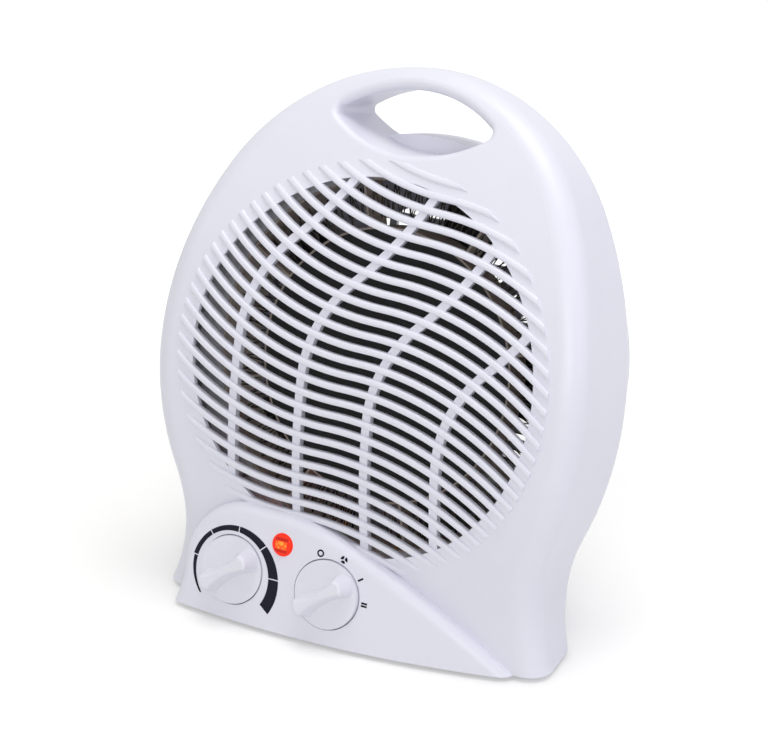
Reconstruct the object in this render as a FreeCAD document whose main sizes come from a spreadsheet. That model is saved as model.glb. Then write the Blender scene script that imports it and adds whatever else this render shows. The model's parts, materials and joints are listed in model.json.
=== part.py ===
import FreeCAD, Part
import math
import os
import Sketcher
from types import SimpleNamespace

# Upright fan heater. The body leans back, so most pieces are drawn in a leaning frame whose origin is the
# middle of the grille: x to the right, y into the depth of the heater and w up along the face (document Z).
# The heel, the feet and the mains inlet are drawn in the standing frame, with the floor at Z = 0.

doc = FreeCAD.newDocument("fan_heater")
Vec = FreeCAD.Vector

# Driving dimensions in millimetres and degrees
values = {
    # stance
    "lean": 14.7,
    "face_height": 133.0,
    "face_setback": 33.0,
    "ground_gap": 2.5,
    "stance_shift": 4.53,
    # body outline
    "half_width": 113.6,
    "crown": 141.0,
    "widest": -6.0,
    "side_radius": 198.0,
    "lower_radius": 165.0,
    "waist_half": 97.5,
    "waist_radius": 62.0,
    "flare_radius": 100.0,
    "outline_floor": 146.0,
    # mouldings
    "wall": 2.4,
    "face_radius": 299.0,
    "face_knee": 17.8,
    "face_flare": 168.0,
    "edge_round": 12.0,
    "parting": 48.0,
    "flange": 14.0,
    "flange_round": 10.5,
    "drum_radius": 105.0,
    "drum_rise": 4.0,
    "drum_back": 92.0,
    "drum_round": 22.0,
    "heel_half": 72.0,
    "heel_back": 47.0,
    "heel_top": 62.0,
    "heel_round": 16.0,
    # handle opening
    "handle_half": 42.5,
    "handle_level": 116.2,
    "handle_rise": 14.5,
    "handle_dip": 15.0,
    "handle_corner": 3.0,
    "handle_soft": 3.5,
    "handle_wall": 5.0,
    # control hump
    "hump_front": 3.0,
    "hump_radius": 480.0,
    "hump_crest": 75.5,
    "hump_crest_radius": 110.0,
    "hump_slope": 22.0,
    "hump_sweep": 500.0,
    "hump_shoulder": 35.0,
    "hump_shoulder_left": 50.5,
    "hump_flat": 12.0,
    "hump_flare": 60.0,
    "hump_right": 96.0,
    "hump_round": 5.5,
    # outlet grille
    "grille_radius": 90.0,
    "tip_radius": 98.0,
    "slat_pitch": 6.722,
    "slat_thickness": 3.3,
    "slat_depth": 3.6,
    "slat_crown": 4.0,
    "slat_lift": 1.3,
    "slat_bend": 144.0,
    "slat_tilt": 3.13,
    "slat_swing": 0.212,
    "slat_top": 92.05,
    "slat_side": 31.5,
    "slat_shift": 2.36,
    "slat_count": 27,
    "slat_round": 1.2,
    "rib_thickness": 4.2,
    "rib_depth": 3.6,
    "rib_sink": 2.1,
    "rib_first": -64.5,
    "rib_step": 36.8,
    "rib_bend": 70.0,
    "rib_bend_level": 6.0,
    "rib_bend_drop": 14.3,
    "rib_turn": 45.0,
    "rib_return": 140.0,
    "rib_top_turn": 5.0,
    "rib_count": 4,
    # controls
    "dial_spacing": 52.5,
    "dial_middle": -29.65,
    "dial_level": -109.2,
    "dial_radius": 16.7,
    "dial_gap": 0.6,
    "dial_face": 2.6,
    "dial_thickness": 3.6,
    "blade_height": 9.5,
    "blade_end": 6.0,
    "blade_waist": 3.8,
    "blade_tip": 6.6,
    "blade_inset": 0.5,
    "blade_round": 1.2,
    "blade_taper": 13.0,
    "spindle_radius": 3.0,
    "spindle_grip": 5.0,
    "spindle_play": 0.05,
    "hub_radius": 5.0,
    "hub_play": 0.35,
    "cup_wall": 2.0,
    "dial_rest": 54.0,
    "lamp_level": -90.7,
    "lamp_radius": 5.6,
    "lamp_bulge": 1.6,
    "lamp_dome": 10.6,
    "lamp_flange": 7.2,
    "lamp_tube": 15.0,
    "switch_radius": 13.0,
    "switch_depth": 17.0,
    "switch_tab": 7.0,
    "switch_tab_thickness": 0.8,
    "thermostat_half": 11.5,
    "thermostat_depth": 9.0,
    "bimetal_gap": 1.2,
    "bimetal_thickness": 0.9,
    # heating element
    "duct_radius": 89.0,
    "duct_wall": 1.0,
    "duct_front": 24.0,
    "duct_flange": 101.0,
    "duct_flat": 94.5,
    "liner_wall": 0.9,
    "liner_play": 0.1,
    "liner_front": 26.0,
    "liner_length": 34.0,
    "tab_thickness": 1.4,
    "tab_width": 9.0,
    "core_radius": 66.0,
    "core_wall": 1.0,
    "core_front": 27.0,
    "core_length": 17.0,
    "shield_depth": 27.0,
    "shield_thickness": 1.0,
    "fin_thickness": 1.2,
    "fin_count": 8,
    "wire_radius": 0.45,
    "wire_loops": 24,
    "wire_inner": 74.6,
    "wire_outer": 81.0,
    "wire_first": 31.0,
    "wire_step": 9.0,
    "notch": 0.75,
    "terminal_half": 1.5,
    "cutout_half": 6.0,
    "cutout_height": 5.0,
    "cutout_length": 12.0,
    # motor and fan
    "spider_depth": 62.0,
    "spider_thickness": 1.4,
    "spider_arm": 9.0,
    "spider_ring": 25.5,
    "spider_bore": 14.0,
    "post_circle": 94.5,
    "post_radius": 4.0,
    "stator_front": 67.0,
    "stator_depth": 14.0,
    "stator_half": 25.0,
    "stator_top": 21.0,
    "window_half": 16.0,
    "window_top": 18.0,
    "window_height": 14.0,
    "limb": 11.0,
    "rotor_radius": 12.6,
    "air_gap": 0.5,
    "shaft_radius": 2.5,
    "shaft_front": 47.5,
    "shaft_back": 87.5,
    "bush_radius": 4.6,
    "bush_length": 4.6,
    "bearing_play": 0.04,
    "bracket_thickness": 2.0,
    "bracket_half": 7.0,
    "bracket_boss": 6.6,
    "bolt_half": 20.5,
    "bolt_radius": 1.6,
    "bolt_play": 0.1,
    "coil_build": 4.0,
    "coil_half": 13.0,
    "bobbin_wall": 1.0,
    "bobbin_play": 0.1,
    "fan_middle": 53.0,
    "fan_hub": 12.0,
    "fan_hub_length": 12.4,
    "fan_radius": 84.0,
    "fan_blades": 5,
    "fan_root_pitch": 40.0,
    "fan_root_chord": 15.0,
    "fan_tip_pitch": 18.0,
    "fan_tip_chord": 38.0,
    "fan_blade_thickness": 1.6,
    "fan_root": 8.4,
    "fan_overshoot": 4.0,
    # fastenings
    "screw_radius": 1.75,
    "screw_play": 0.1,
    "screw_head": 3.4,
    "screw_head_height": 2.2,
    "screw_reach": 11.0,
    "screw_seat": 4.0,
    "boss_radius": 4.2,
    "upper_screw_x": 62.0,
    "upper_screw_w": 106.0,
    "lower_screw_x": 84.0,
    "lower_screw_w": -104.0,
    "foot_radius": 7.0,
    "foot_stem": 2.4,
    "foot_stem_length": 4.0,
    "foot_spread_front": 76.0,
    "foot_spread_back": 54.0,
    "foot_reach": 34.0,
    # intake
    "vent_radius": 74.0,
    "vent_height": 4.2,
    "vent_pitch": 8.4,
    "vent_count": 17,
    "vent_bar": 4.0,
    "vent_bar_step": 37.0,
    # mains inlet
    "inlet_x": -38.0,
    "inlet_height": 24.0,
    "inlet_radius": 6.0,
    "inlet_bore": 3.6,
    "inlet_flange": 8.5,
    "inlet_flange_thickness": 2.4,
    "inlet_inside": 7.0,
    "block_half": 15.0,
    "block_front": 8.0,
    "block_depth": 16.0,
    "block_height": 13.0,
    "block_pole": 9.0,
}


class Size:
    """A value together with the sheet expression that drives it."""

    def __init__(self, value, text):
        self.value = value
        self.text = text

    def __add__(self, other):
        other = as_size(other)
        return Size(self.value + other.value, f"({self.text} + {other.text})")

    def __sub__(self, other):
        other = as_size(other)
        return Size(self.value - other.value, f"({self.text} - {other.text})")

    def __mul__(self, other):
        other = as_size(other)
        return Size(self.value * other.value, f"({self.text} * {other.text})")

    def __truediv__(self, other):
        other = as_size(other)
        return Size(self.value / other.value, f"({self.text} / {other.text})")

    def __radd__(self, other):
        return as_size(other) + self

    def __rsub__(self, other):
        return as_size(other) - self

    def __rmul__(self, other):
        return as_size(other) * self

    def __neg__(self):
        return as_size(0) - self


def as_size(item):
    return item if isinstance(item, Size) else Size(float(item), f"{float(item):.6f}")


def root(size):
    return Size(math.sqrt(size.value), f"sqrt({size.text})")


def sine(size):
    return Size(math.sin(math.radians(size.value)), f"sin({size.text})")


def cosine(size):
    return Size(math.cos(math.radians(size.value)), f"cos({size.text})")


sheet = doc.addObject("Spreadsheet::Sheet", "dims")
for row, (alias, value) in enumerate(values.items(), start=1):
    sheet.set(f"A{row}", alias)
    sheet.set(f"B{row}", str(value))
    sheet.setAlias(f"B{row}", alias)
doc.recompute()
dim = SimpleNamespace(**{alias: Size(float(value), f"dims.{alias}") for alias, value in values.items()})

# The leaning frame seen from the standing one, and the way back
leaning = FreeCAD.Placement(
    Vec(0, -dim.face_setback.value, dim.face_height.value), FreeCAD.Rotation(Vec(1, 0, 0), -dim.lean.value)
)
standing = leaning.inverse()
ground = FreeCAD.Placement(Vec(0, -dim.stance_shift.value, 0), FreeCAD.Rotation())
depthwise = FreeCAD.Rotation(Vec(1, 0, 0), -90)
reach = 400.0
half_reach = reach / 2

nodes = []


def bind(item, prop, size):
    item.setExpression(prop, as_size(size).text)


def move(item, x, y, w):
    for axis, size in (("x", x), ("y", y), ("z", w)):
        bind(item, f"Placement.Base.{axis}", size)


def rod(name, radius, start, end, x=0, w=0):
    """Round bar along the depth of the heater."""
    bar = doc.addObject("Part::Cylinder", name)
    bar.Placement = FreeCAD.Placement(Vec(), depthwise)
    bind(bar, "Radius", radius)
    bind(bar, "Height", as_size(end) - start)
    move(bar, x, start, w)
    return bar


def block(name, left, right, front, back, low, high):
    """Square block between six planes."""
    box = doc.addObject("Part::Box", name)
    bind(box, "Length", as_size(right) - left)
    bind(box, "Width", as_size(back) - front)
    bind(box, "Height", as_size(high) - low)
    move(box, left, front, low)
    return box


def cut(name, base, *tools):
    for number, tool in enumerate(tools):
        base = pair("Part::Cut", f"{name}_{number}", base, tool)
    return base


def pair(kind, name, base, tool):
    result = doc.addObject(kind, name)
    result.Base = base
    result.Tool = tool
    return result


def common(name, base, tool):
    return pair("Part::Common", name, base, tool)


def fuse(name, *items):
    result = doc.addObject("Part::MultiFuse", name)
    result.Shapes = list(items)
    return result


def group(name, items):
    result = doc.addObject("Part::Compound", name)
    result.Links = list(items)
    return result


def node(item, label, place=leaning):
    """Finished sub-part under its own name, set in its frame."""
    item.Label = label
    item.Placement = ground * place
    nodes.append(item)
    return item


def sketch_in(body, role, name, offset=0):
    sketch = body.newObject("Sketcher::SketchObject", name)
    planes = [plane for plane in body.Origin.OriginFeatures if plane.Role == role]
    sketch.AttachmentSupport = [(planes[0], "")]
    sketch.MapMode = "FlatFace"
    bind(sketch, "AttachmentOffset.Base.z", offset)
    return sketch


def arc_between(start, end, radius, turn):
    """Arc from start to end that turns left (1) or right (-1)."""
    chord = end - start
    half = chord.Length / 2
    side = Vec(-chord.y, chord.x, 0).normalize() * turn
    centre = start + chord * 0.5 + side * math.sqrt(max(radius * radius - half * half, 0))
    angles = [math.atan2(point.y - centre.y, point.x - centre.x) for point in (start, end)]
    if turn < 0:
        angles.reverse()
    if angles[1] <= angles[0]:
        angles[1] += 2 * math.pi
    return Part.ArcOfCircle(Part.Circle(centre, Vec(0, 0, 1), radius), angles[0], angles[1])


def draw(sketch, *stops):
    """Closed outline. A stop is (x, y), or (x, y, radius, turn) where an arc leads to it."""
    stops = [tuple(as_size(item) for item in stop[:3]) + stop[3:] for stop in stops]
    corners = [Vec(stop[0].value, stop[1].value, 0) for stop in stops]
    ends = []
    for number, stop in enumerate(stops):
        start, end = corners[number - 1], corners[number]
        if len(stop) == 2:
            index = sketch.addGeometry(Part.LineSegment(start, end))
            ends.append((index, 1, 2))
            continue
        index = sketch.addGeometry(arc_between(start, end, stop[2].value, stop[3]))
        ends.append((index, 1, 2) if stop[3] > 0 else (index, 2, 1))
        tie(sketch, Sketcher.Constraint("Radius", index, stop[2].value), stop[2])
    for number, stop in enumerate(stops):
        index, near, far = ends[number]
        following, near_next, _ = ends[(number + 1) % len(stops)]
        sketch.addConstraint(Sketcher.Constraint("Coincident", index, far, following, near_next))
        tie(sketch, Sketcher.Constraint("DistanceX", -1, 1, index, far, stop[0].value), stop[0])
        tie(sketch, Sketcher.Constraint("DistanceY", -1, 1, index, far, stop[1].value), stop[1])


def draw_circle(sketch, x, y, radius):
    x, y, radius = as_size(x), as_size(y), as_size(radius)
    circle = Part.Circle(Vec(x.value, y.value, 0), Vec(0, 0, 1), radius.value)
    index = sketch.addGeometry(circle)
    tie(sketch, Sketcher.Constraint("Radius", index, radius.value), radius)
    tie(sketch, Sketcher.Constraint("DistanceX", -1, 1, index, 3, x.value), x)
    tie(sketch, Sketcher.Constraint("DistanceY", -1, 1, index, 3, y.value), y)


def tie(sketch, constraint, size):
    index = sketch.addConstraint(constraint)
    sketch.setExpression(f"Constraints[{index}]", size.text)


def new_body(name):
    return doc.addObject("PartDesign::Body", name)


def plate(name, start, end, *stops, holes=()):
    """Flat piece across the depth: an outline in (x, w) with round holes (x, w, radius)."""
    body = new_body(name)
    sketch = sketch_in(body, "XZ_Plane", f"{name}_outline", -as_size(start))
    draw(sketch, *stops)
    for hole in holes:
        draw_circle(sketch, *hole)
    pad = body.newObject("PartDesign::Pad", f"{name}_pad")
    pad.Profile = sketch
    pad.Reversed = True
    bind(pad, "Length", as_size(end) - start)
    return body


def turned(name, *stops):
    """Piece turned about the depth axis: a profile in (radius, y)."""
    body = new_body(name)
    sketch = sketch_in(body, "XY_Plane", f"{name}_profile")
    draw(sketch, *stops)
    spin = body.newObject("PartDesign::Revolution", f"{name}_spin")
    spin.Profile = sketch
    spin.ReferenceAxis = (sketch, ["V_Axis"])
    spin.Angle = 360
    return body


def pocket(body, name, role, offset, depth, *stops):
    sketch = sketch_in(body, role, f"{name}_outline", offset)
    draw(sketch, *stops)
    feature = body.newObject("PartDesign::Pocket", name)
    feature.Profile = sketch
    bind(feature, "Length", depth)
    return feature


def round_edges(body, name, radius, chosen):
    """Fillet on the edges of the body's tip that the test picks."""
    doc.recompute()
    tip = body.Tip
    picked = [f"Edge{number}" for number, edge in enumerate(tip.Shape.Edges, start=1) if chosen(edge)]
    fillet = body.newObject("PartDesign::Fillet", name)
    fillet.Base = (tip, picked)
    bind(fillet, "Radius", radius)
    doc.recompute()


def offset_place(x, y, w, turn=0):
    """A place in the leaning frame, turned clockwise as seen from the front."""
    values_at = [as_size(item).value for item in (x, y, w)]
    return leaning * FreeCAD.Placement(Vec(*values_at), FreeCAD.Rotation(Vec(0, 1, 0), turn))


def body_outline(inset):
    """Egg-shaped outline of the heater, waisted and flared at the foot, shrunk by an inset."""
    widest = dim.widest
    half = dim.half_width - inset
    crown = dim.crown - inset
    side = dim.side_radius - inset
    tall = crown - widest
    top = (2 * half * side - half * half - tall * tall) / (2 * (side - tall))
    lean_x = (side - half) / (side - top)
    lean_w = (tall - top) / (side - top)
    shoulder_x = top * lean_x
    shoulder_w = crown - top + top * lean_w
    lower = dim.lower_radius - inset
    waist_radius = dim.waist_radius + inset
    waist = dim.waist_half - inset
    drop = half - waist
    both = lower + waist_radius
    fall = root(2 * both * drop - drop * drop)
    hip_x = half - lower + lower * (both - drop) / both
    hip_w = widest - lower * fall / both
    waist_w = widest - fall
    flare = dim.flare_radius + inset
    floor = -dim.outline_floor
    deep = waist_w - floor
    foot = waist + flare - root(flare * flare - deep * deep)
    return [
        (foot, floor),
        (waist, waist_w, flare, -1),
        (hip_x, hip_w, waist_radius, -1),
        (half, widest, lower, 1),
        (shoulder_x, shoulder_w, side, 1),
        (-shoulder_x, shoulder_w, top, 1),
        (-half, widest, side, 1),
        (-hip_x, hip_w, lower, 1),
        (-waist, waist_w, waist_radius, -1),
        (-foot, floor, flare, -1),
    ]


def handle_outline(grow):
    """Lens of the finger opening with rounded ends, grown by a margin."""
    half = dim.handle_half + grow
    level = dim.handle_level
    rise = dim.handle_rise + grow
    dip = dim.handle_dip + grow
    corner = dim.handle_corner + grow
    upper = (half * half + rise * rise) / (2 * rise)
    lower = (half * half + dip * dip) / (2 * dip)
    upper_w, lower_w = rise - upper, lower - dip
    above, below = upper - corner, lower - corner
    squares = upper_w * upper_w - lower_w * lower_w - above * above + below * below
    corner_w = squares / (2 * (upper_w - lower_w))
    rest = corner_w - upper_w
    corner_x = root(above * above - rest * rest)
    low_x, low_w = corner_x * lower / below, level + lower_w + (corner_w - lower_w) * lower / below
    high_x, high_w = corner_x * upper / above, level + upper_w + rest * upper / above
    return [
        (low_x, low_w, lower, 1),
        (high_x, high_w, corner, 1),
        (-high_x, high_w, upper, 1),
        (-low_x, low_w, corner, 1),
    ]


def on_handle_rim(edge):
    """True for an edge where the finger opening breaks through the front."""
    box = edge.BoundBox
    along = box.XLength < 0.01 and box.ZLength < 0.01
    low = dim.handle_level.value - dim.handle_dip.value - 1
    high = dim.handle_level.value + dim.handle_rise.value + 1
    inside = box.ZMin > low and box.ZMax < high and abs(box.Center.x) < dim.handle_half.value
    return inside and not along and box.YMax < dim.parting.value - 1


def hump_outline(inset):
    """Control hump: a shoulder at the left, a crest, and a long slope down to the right foot."""
    shoulder = dim.hump_shoulder - inset
    crest_radius = dim.hump_crest_radius - inset
    flare = dim.hump_flare + inset
    left = -dim.hump_shoulder_left
    shoulder_w = -dim.hump_crest - dim.hump_shoulder
    crest_x = left + dim.hump_flat
    slope_x = crest_x + crest_radius * sine(dim.hump_slope)
    slope_w = -dim.hump_crest - dim.hump_crest_radius + crest_radius * cosine(dim.hump_slope)
    sweep = dim.hump_sweep - inset
    growth = dim.hump_sweep - dim.hump_crest_radius
    sweep_x = crest_x - growth * sine(dim.hump_slope)
    sweep_w = -dim.hump_crest - dim.hump_crest_radius - growth * cosine(dim.hump_slope)
    right = dim.hump_right - inset
    end_w = sweep_w + root(sweep * sweep - (right - sweep_x) * (right - sweep_x))
    floor = -dim.outline_floor
    deep = shoulder_w - floor
    foot = left - shoulder - flare + root(flare * flare - deep * deep)
    return [
        (right, floor),
        (right, end_w),
        (slope_x, slope_w, sweep, 1),
        (crest_x, -dim.hump_crest - inset, crest_radius, 1),
        (left, -dim.hump_crest - inset),
        (left - shoulder, shoulder_w, shoulder, 1),
        (foot, floor, flare, -1),
    ]


def front_blank(name, inset, back):
    """Solid of the front moulding's outside (inset 0) or of its hollow."""
    body = plate(name, -dim.edge_round, back, *body_outline(inset))
    radius = dim.face_radius - inset
    flare = dim.face_flare + inset
    edge = dim.crown + dim.edge_round
    sag = dim.face_radius - root(radius * radius - edge * edge)
    knee_y = dim.face_radius - radius * cosine(dim.face_knee)
    knee_w = -radius * sine(dim.face_knee)
    toe_y = dim.face_radius - (dim.face_radius + dim.face_flare) * cosine(dim.face_knee) + flare
    toe_w = -(dim.face_radius + dim.face_flare) * sine(dim.face_knee)
    ahead = -2 * dim.edge_round
    width = 2 * (dim.half_width + dim.edge_round)
    pocket(
        body, f"{name}_dome", "YZ_Plane", dim.half_width + dim.edge_round, width,
        (knee_y, knee_w, flare, 1), (sag, edge, radius, -1), (ahead, edge), (ahead, -edge), (toe_y, -edge),
        (toe_y, toe_w),
    )
    sides = [(dim.face_radius.value, 0, radius.value), (toe_y.value - flare.value, toe_w.value, flare.value)]
    round_edges(body, f"{name}_round", dim.edge_round - inset, lambda edge: on_face(edge, sides, toe_y.value))
    return body


def on_face(edge, sides, toe):
    """True for an edge round the face, which is a dome, a flare and a plain toe, but not across it."""
    middle = edge.valueAt((edge.FirstParameter + edge.LastParameter) / 2)
    bowed = [abs(math.hypot(middle.y - y, middle.z - w) - radius) < 0.01 for y, w, radius in sides]
    return (any(bowed) or abs(middle.y - toe) < 0.01) and edge.BoundBox.ZLength > 0.01


def hump_blank(name, inset):
    """Solid of the control hump's outside (inset 0) or of its hollow."""
    body = plate(name, -dim.edge_round, dim.parting - inset, *hump_outline(inset))
    radius = dim.hump_radius - inset
    middle = dim.hump_front + dim.hump_radius
    side = dim.half_width + dim.edge_round
    span = side - dim.dial_middle
    sag = middle - root(radius * radius - span * span)
    ahead = -2 * dim.edge_round
    left = dim.dial_middle - span
    height = dim.outline_floor + dim.edge_round
    pocket(
        body, f"{name}_bow", "XY_Plane", dim.edge_round, height + dim.edge_round,
        (side, sag, radius, 1), (side, ahead), (left, ahead), (left, sag),
    )
    round_edges(
        body, f"{name}_round", dim.hump_round - inset, lambda edge: on_bow(edge, middle.value, radius.value),
    )
    return body


def on_bow(edge, middle, radius):
    """True for an edge of the hump's bowed front that isn't its straight lower end."""
    point = edge.valueAt((edge.FirstParameter + edge.LastParameter) / 2)
    span = math.hypot(point.x - dim.dial_middle.value, point.y - middle)
    low = point.z < -dim.outline_floor.value + 1
    return abs(span - radius) < 0.01 and not low


def floor_block(name, height):
    """Everything below a height above the floor, as a block in the leaning frame."""
    box = doc.addObject("Part::Box", name)
    box.Length = 2 * reach
    box.Width = 2 * reach
    bind(box, "Height", reach + height)
    box.Placement = standing * FreeCAD.Placement(Vec(-reach, -reach, -reach), FreeCAD.Rotation())
    return box


def spoke(name, angle, near, far, front, back, thickness):
    """Flat arm that runs outwards from the fan axis, angle from the right-hand side towards the top."""
    arm = doc.addObject("Part::Box", name)
    bind(arm, "Length", as_size(far) - near)
    bind(arm, "Width", as_size(back) - front)
    bind(arm, "Height", thickness)
    start = Vec(as_size(near).value, as_size(front).value, -as_size(thickness).value / 2)
    swing = FreeCAD.Rotation(Vec(0, 1, 0), -angle)
    arm.Placement = FreeCAD.Placement(Vec(), swing) * FreeCAD.Placement(start, FreeCAD.Rotation())
    return arm


def around(radius, angle):
    """The x and w of a place on a circle about the fan axis."""
    turn = math.radians(angle)
    return radius * math.cos(turn), radius * math.sin(turn)


def mirrored(x):
    return (x, -x)


def slat_outline():
    """S-shaped strip through the middle of the grille: the left end sweeps up, the right end down."""
    bend = dim.slat_bend
    half = dim.slat_thickness / 2
    tilt_x, tilt_w = sine(dim.slat_tilt), cosine(dim.slat_tilt)
    end_x = tilt_x + (dim.tip_radius + dim.edge_round) / bend
    end_w = root(1 - end_x * end_x)
    thin, thick = bend - half, bend + half
    left_low = (bend * tilt_x - thick * end_x, bend * tilt_w - thick * end_w)
    left_high = (bend * tilt_x - thin * end_x, bend * tilt_w - thin * end_w)
    return [
        left_low + (thick, -1),
        left_high,
        (half * tilt_x, half * tilt_w, thin, 1),
        (-left_low[0], -left_low[1], thick, -1),
        (-left_high[0], -left_high[1]),
        (-half * tilt_x, -half * tilt_w, thin, 1),
    ]


def slat_bank(clear):
    """The row of slats: each follows a crowned front, and its tips lie on the face up to the tip circle."""
    strip = plate("slat_strip", -dim.edge_round, dim.parting, *slat_outline())
    ends = rod("slat_ends", dim.tip_radius, -dim.edge_round, dim.parting)
    doc.recompute()
    zone = crowned_layer(0, dim.slat_depth.value)
    slats = []
    for number in range(int(dim.slat_count.value)):
        side = dim.slat_side.value - number * dim.slat_shift.value
        level = dim.slat_top.value - number * dim.slat_pitch.value
        turn = FreeCAD.Rotation(Vec(0, 1, 0), -number * dim.slat_swing.value)
        place = FreeCAD.Placement(Vec(side, 0, level), turn)
        blade = strip.Shape.transformed(place.toMatrix()).common(zone)
        slats.append(soften(blade.Solids[0], dim.slat_round.value).common(ends.Shape))
    bank = doc.addObject("Part::Feature", "slat_bank")
    bank.Shape = Part.makeCompound(slats)
    return cut("slats", bank, clear)


def crowned_front():
    """Solid behind a front that is bowed both ways: it stands ahead of the face by the lift at the tip circle
    and by the crown as well in the middle."""
    crown, lift = dim.slat_crown.value, dim.slat_lift.value
    tip, high = dim.tip_radius.value, dim.tip_radius.value + dim.edge_round.value
    across = tip * tip / (2 * crown)
    upright = 1 / (1 / dim.face_radius.value + 2 * crown / (tip * tip))
    ahead = -crown - lift
    edge = upright + ahead - math.sqrt(upright * upright - high * high)
    corners = [Vec(0, edge, high), Vec(0, ahead, 0), Vec(0, edge, -high)]
    back = [Vec(0, dim.parting.value, -high), Vec(0, dim.parting.value, high)]
    pairs = [(corners[2], back[0]), back, (back[1], corners[0])]
    sides = [Part.LineSegment(*ends).toShape() for ends in pairs]
    section = Part.Face(Part.Wire([Part.Arc(*corners).toShape()] + sides))
    swing = math.degrees(1.2 * tip / across)
    axis = Vec(0, across + ahead, 0)
    section.rotate(axis, Vec(0, 0, 1), -swing)
    return section.revolve(axis, Vec(0, 0, 1), 2 * swing)


def crowned_layer(sink, depth):
    """Layer of one depth that lies a distance behind the slats' crowned front."""
    front = crowned_front()
    return front.translated(Vec(0, sink, 0)).cut(front.translated(Vec(0, sink + depth, 0)))


def soften(piece, radius):
    """Rounds the long front edges of one slat."""
    crowned = [face for face in piece.Faces if face.Surface.TypeId == "Part::GeomToroid"]
    front = min(crowned, key=lambda face: face.CenterOfMass.y)
    long_edges = [edge for edge in front.Edges if edge.Length > 4 * dim.slat_thickness.value]
    return piece.makeFillet(radius, long_edges)


def rib(name, x, level):
    """Upright stiffening rib behind the slats, bent over to the right above a level and partly back again."""
    half = dim.rib_thickness / 2
    low = -dim.tip_radius
    turn_x, turn_w = cosine(dim.rib_turn), sine(dim.rib_turn)
    top_x, top_w = cosine(dim.rib_top_turn), sine(dim.rib_top_turn)
    near, far = dim.rib_bend - half, dim.rib_bend + half
    slim, wide = dim.rib_return - half, dim.rib_return + half
    middle = x + dim.rib_bend
    both = dim.rib_bend + dim.rib_return
    back_x, back_w = middle - both * turn_x, level + both * turn_w
    return plate(
        name, -dim.edge_round, dim.parting,
        (x + half, low),
        (x + half, level),
        (middle - near * turn_x, level + near * turn_w, near, -1),
        (back_x + wide * top_x, back_w - wide * top_w, wide, 1),
        (back_x + slim * top_x, back_w - slim * top_w),
        (middle - far * turn_x, level + far * turn_w, slim, -1),
        (x - half, level, far, 1),
        (x - half, low),
    )


def dial_x(side):
    return dim.dial_middle + side * dim.dial_spacing / 2


cup_floor = dim.dial_face + dim.dial_thickness + dim.dial_gap
cup_back = cup_floor + dim.cup_wall
shell_screws = [(x, dim.upper_screw_w) for x in mirrored(dim.upper_screw_x)]
shell_screws += [(x, dim.lower_screw_w) for x in mirrored(dim.lower_screw_x)]
screw_seat = dim.parting + dim.screw_seat
post_angles = (45, 135, 225, 315)
post_top = dim.spider_depth + dim.spider_thickness
duct_outside = dim.duct_radius + dim.duct_wall
liner_inside = dim.duct_radius - dim.liner_play - dim.liner_wall
wire_end = dim.wire_outer + 2 * dim.terminal_half


def make_front_cover():
    blank = front_blank("front_outer", as_size(0), dim.parting)
    through = dim.parting + 2 * dim.edge_round
    pocket(blank, "finger_opening", "XZ_Plane", dim.edge_round, through, *handle_outline(as_size(0)))
    round_edges(blank, "finger_rim", dim.handle_soft, on_handle_rim)
    hollow = front_blank("front_inner", dim.wall, dim.parting + dim.wall)
    hump = hump_blank("hump_outer", as_size(0))
    hump_hollow = hump_blank("hump_inner", dim.wall)
    outside = fuse("cover_outside", blank, hump)
    rim = plate("lens_rim_front", -dim.edge_round, dim.parting + dim.wall, *handle_outline(dim.handle_wall))
    inside = cut("cover_inside", fuse("cover_hollow", hollow, hump_hollow), rim,
                 floor_block("floor_rise_front", dim.ground_gap + dim.wall))
    shell = cut("cover_shell", outside, inside)
    mouth = cut("mouth", rod("mouth_bore", dim.grille_radius, -dim.edge_round, dim.parting), hump)
    open_shell = cut("open_shell", shell, mouth)
    bars = doc.addObject("Part::Feature", "rib_zone")
    bars.Shape = crowned_layer(dim.rib_sink.value, dim.rib_depth.value)
    rib_ends = rod("rib_ends", dim.grille_radius + dim.wall, -dim.edge_round, dim.parting)
    bars = common("rib_disc", bars, rib_ends)
    ribs = [rib(f"rib_{k}", dim.rib_first + k * dim.rib_step, dim.rib_bend_level - k * dim.rib_bend_drop)
            for k in range(int(dim.rib_count.value))]
    uprights = cut("ribs_clear", common("ribs_trimmed", group("ribs", ribs), bars), hump_hollow)
    bosses = [rod(f"front_boss_{k}", dim.boss_radius, -dim.edge_round, dim.parting, x, w)
              for k, (x, w) in enumerate(shell_screws)]
    cups = [rod(f"cup_{k}", dim.dial_radius + dim.dial_gap + dim.cup_wall, -dim.edge_round, cup_back,
                dial_x(side), dim.dial_level) for k, side in enumerate((-1, 1))]
    fixings = common("fixings", fuse("fixing_rods", *bosses, *cups), outside)
    pilot = dim.screw_radius + dim.screw_play
    pilot_end = screw_seat - dim.screw_reach - dim.screw_seat
    drill = [rod(f"pilot_{k}", pilot, pilot_end, dim.parting + dim.wall, x, w)
             for k, (x, w) in enumerate(shell_screws)]
    recess, hub_way = dim.dial_radius + dim.dial_gap, dim.hub_radius + dim.hub_play
    for k, side in enumerate((-1, 1)):
        x = dial_x(side)
        drill.append(rod(f"recess_{k}", recess, -dim.edge_round, cup_floor, x, dim.dial_level))
        drill.append(rod(f"spindle_hole_{k}", hub_way, 0, cup_back + 1, x, dim.dial_level))
    drill.append(rod("lamp_hole", dim.lamp_radius + dim.screw_play, -dim.edge_round, cup_floor + dim.wall,
                     dim.dial_middle, dim.lamp_level))
    drill += foot_holes("front", dim.foot_spread_front, -dim.foot_reach)
    cover = cut("cover_drilled", fuse("cover_body", open_shell, fixings), fuse("cover_holes", *drill),
                floor_block("floor_front", dim.ground_gap))
    return node(fuse("cover_whole", cover, slat_bank(hump_hollow), uprights), "front_cover")


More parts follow.
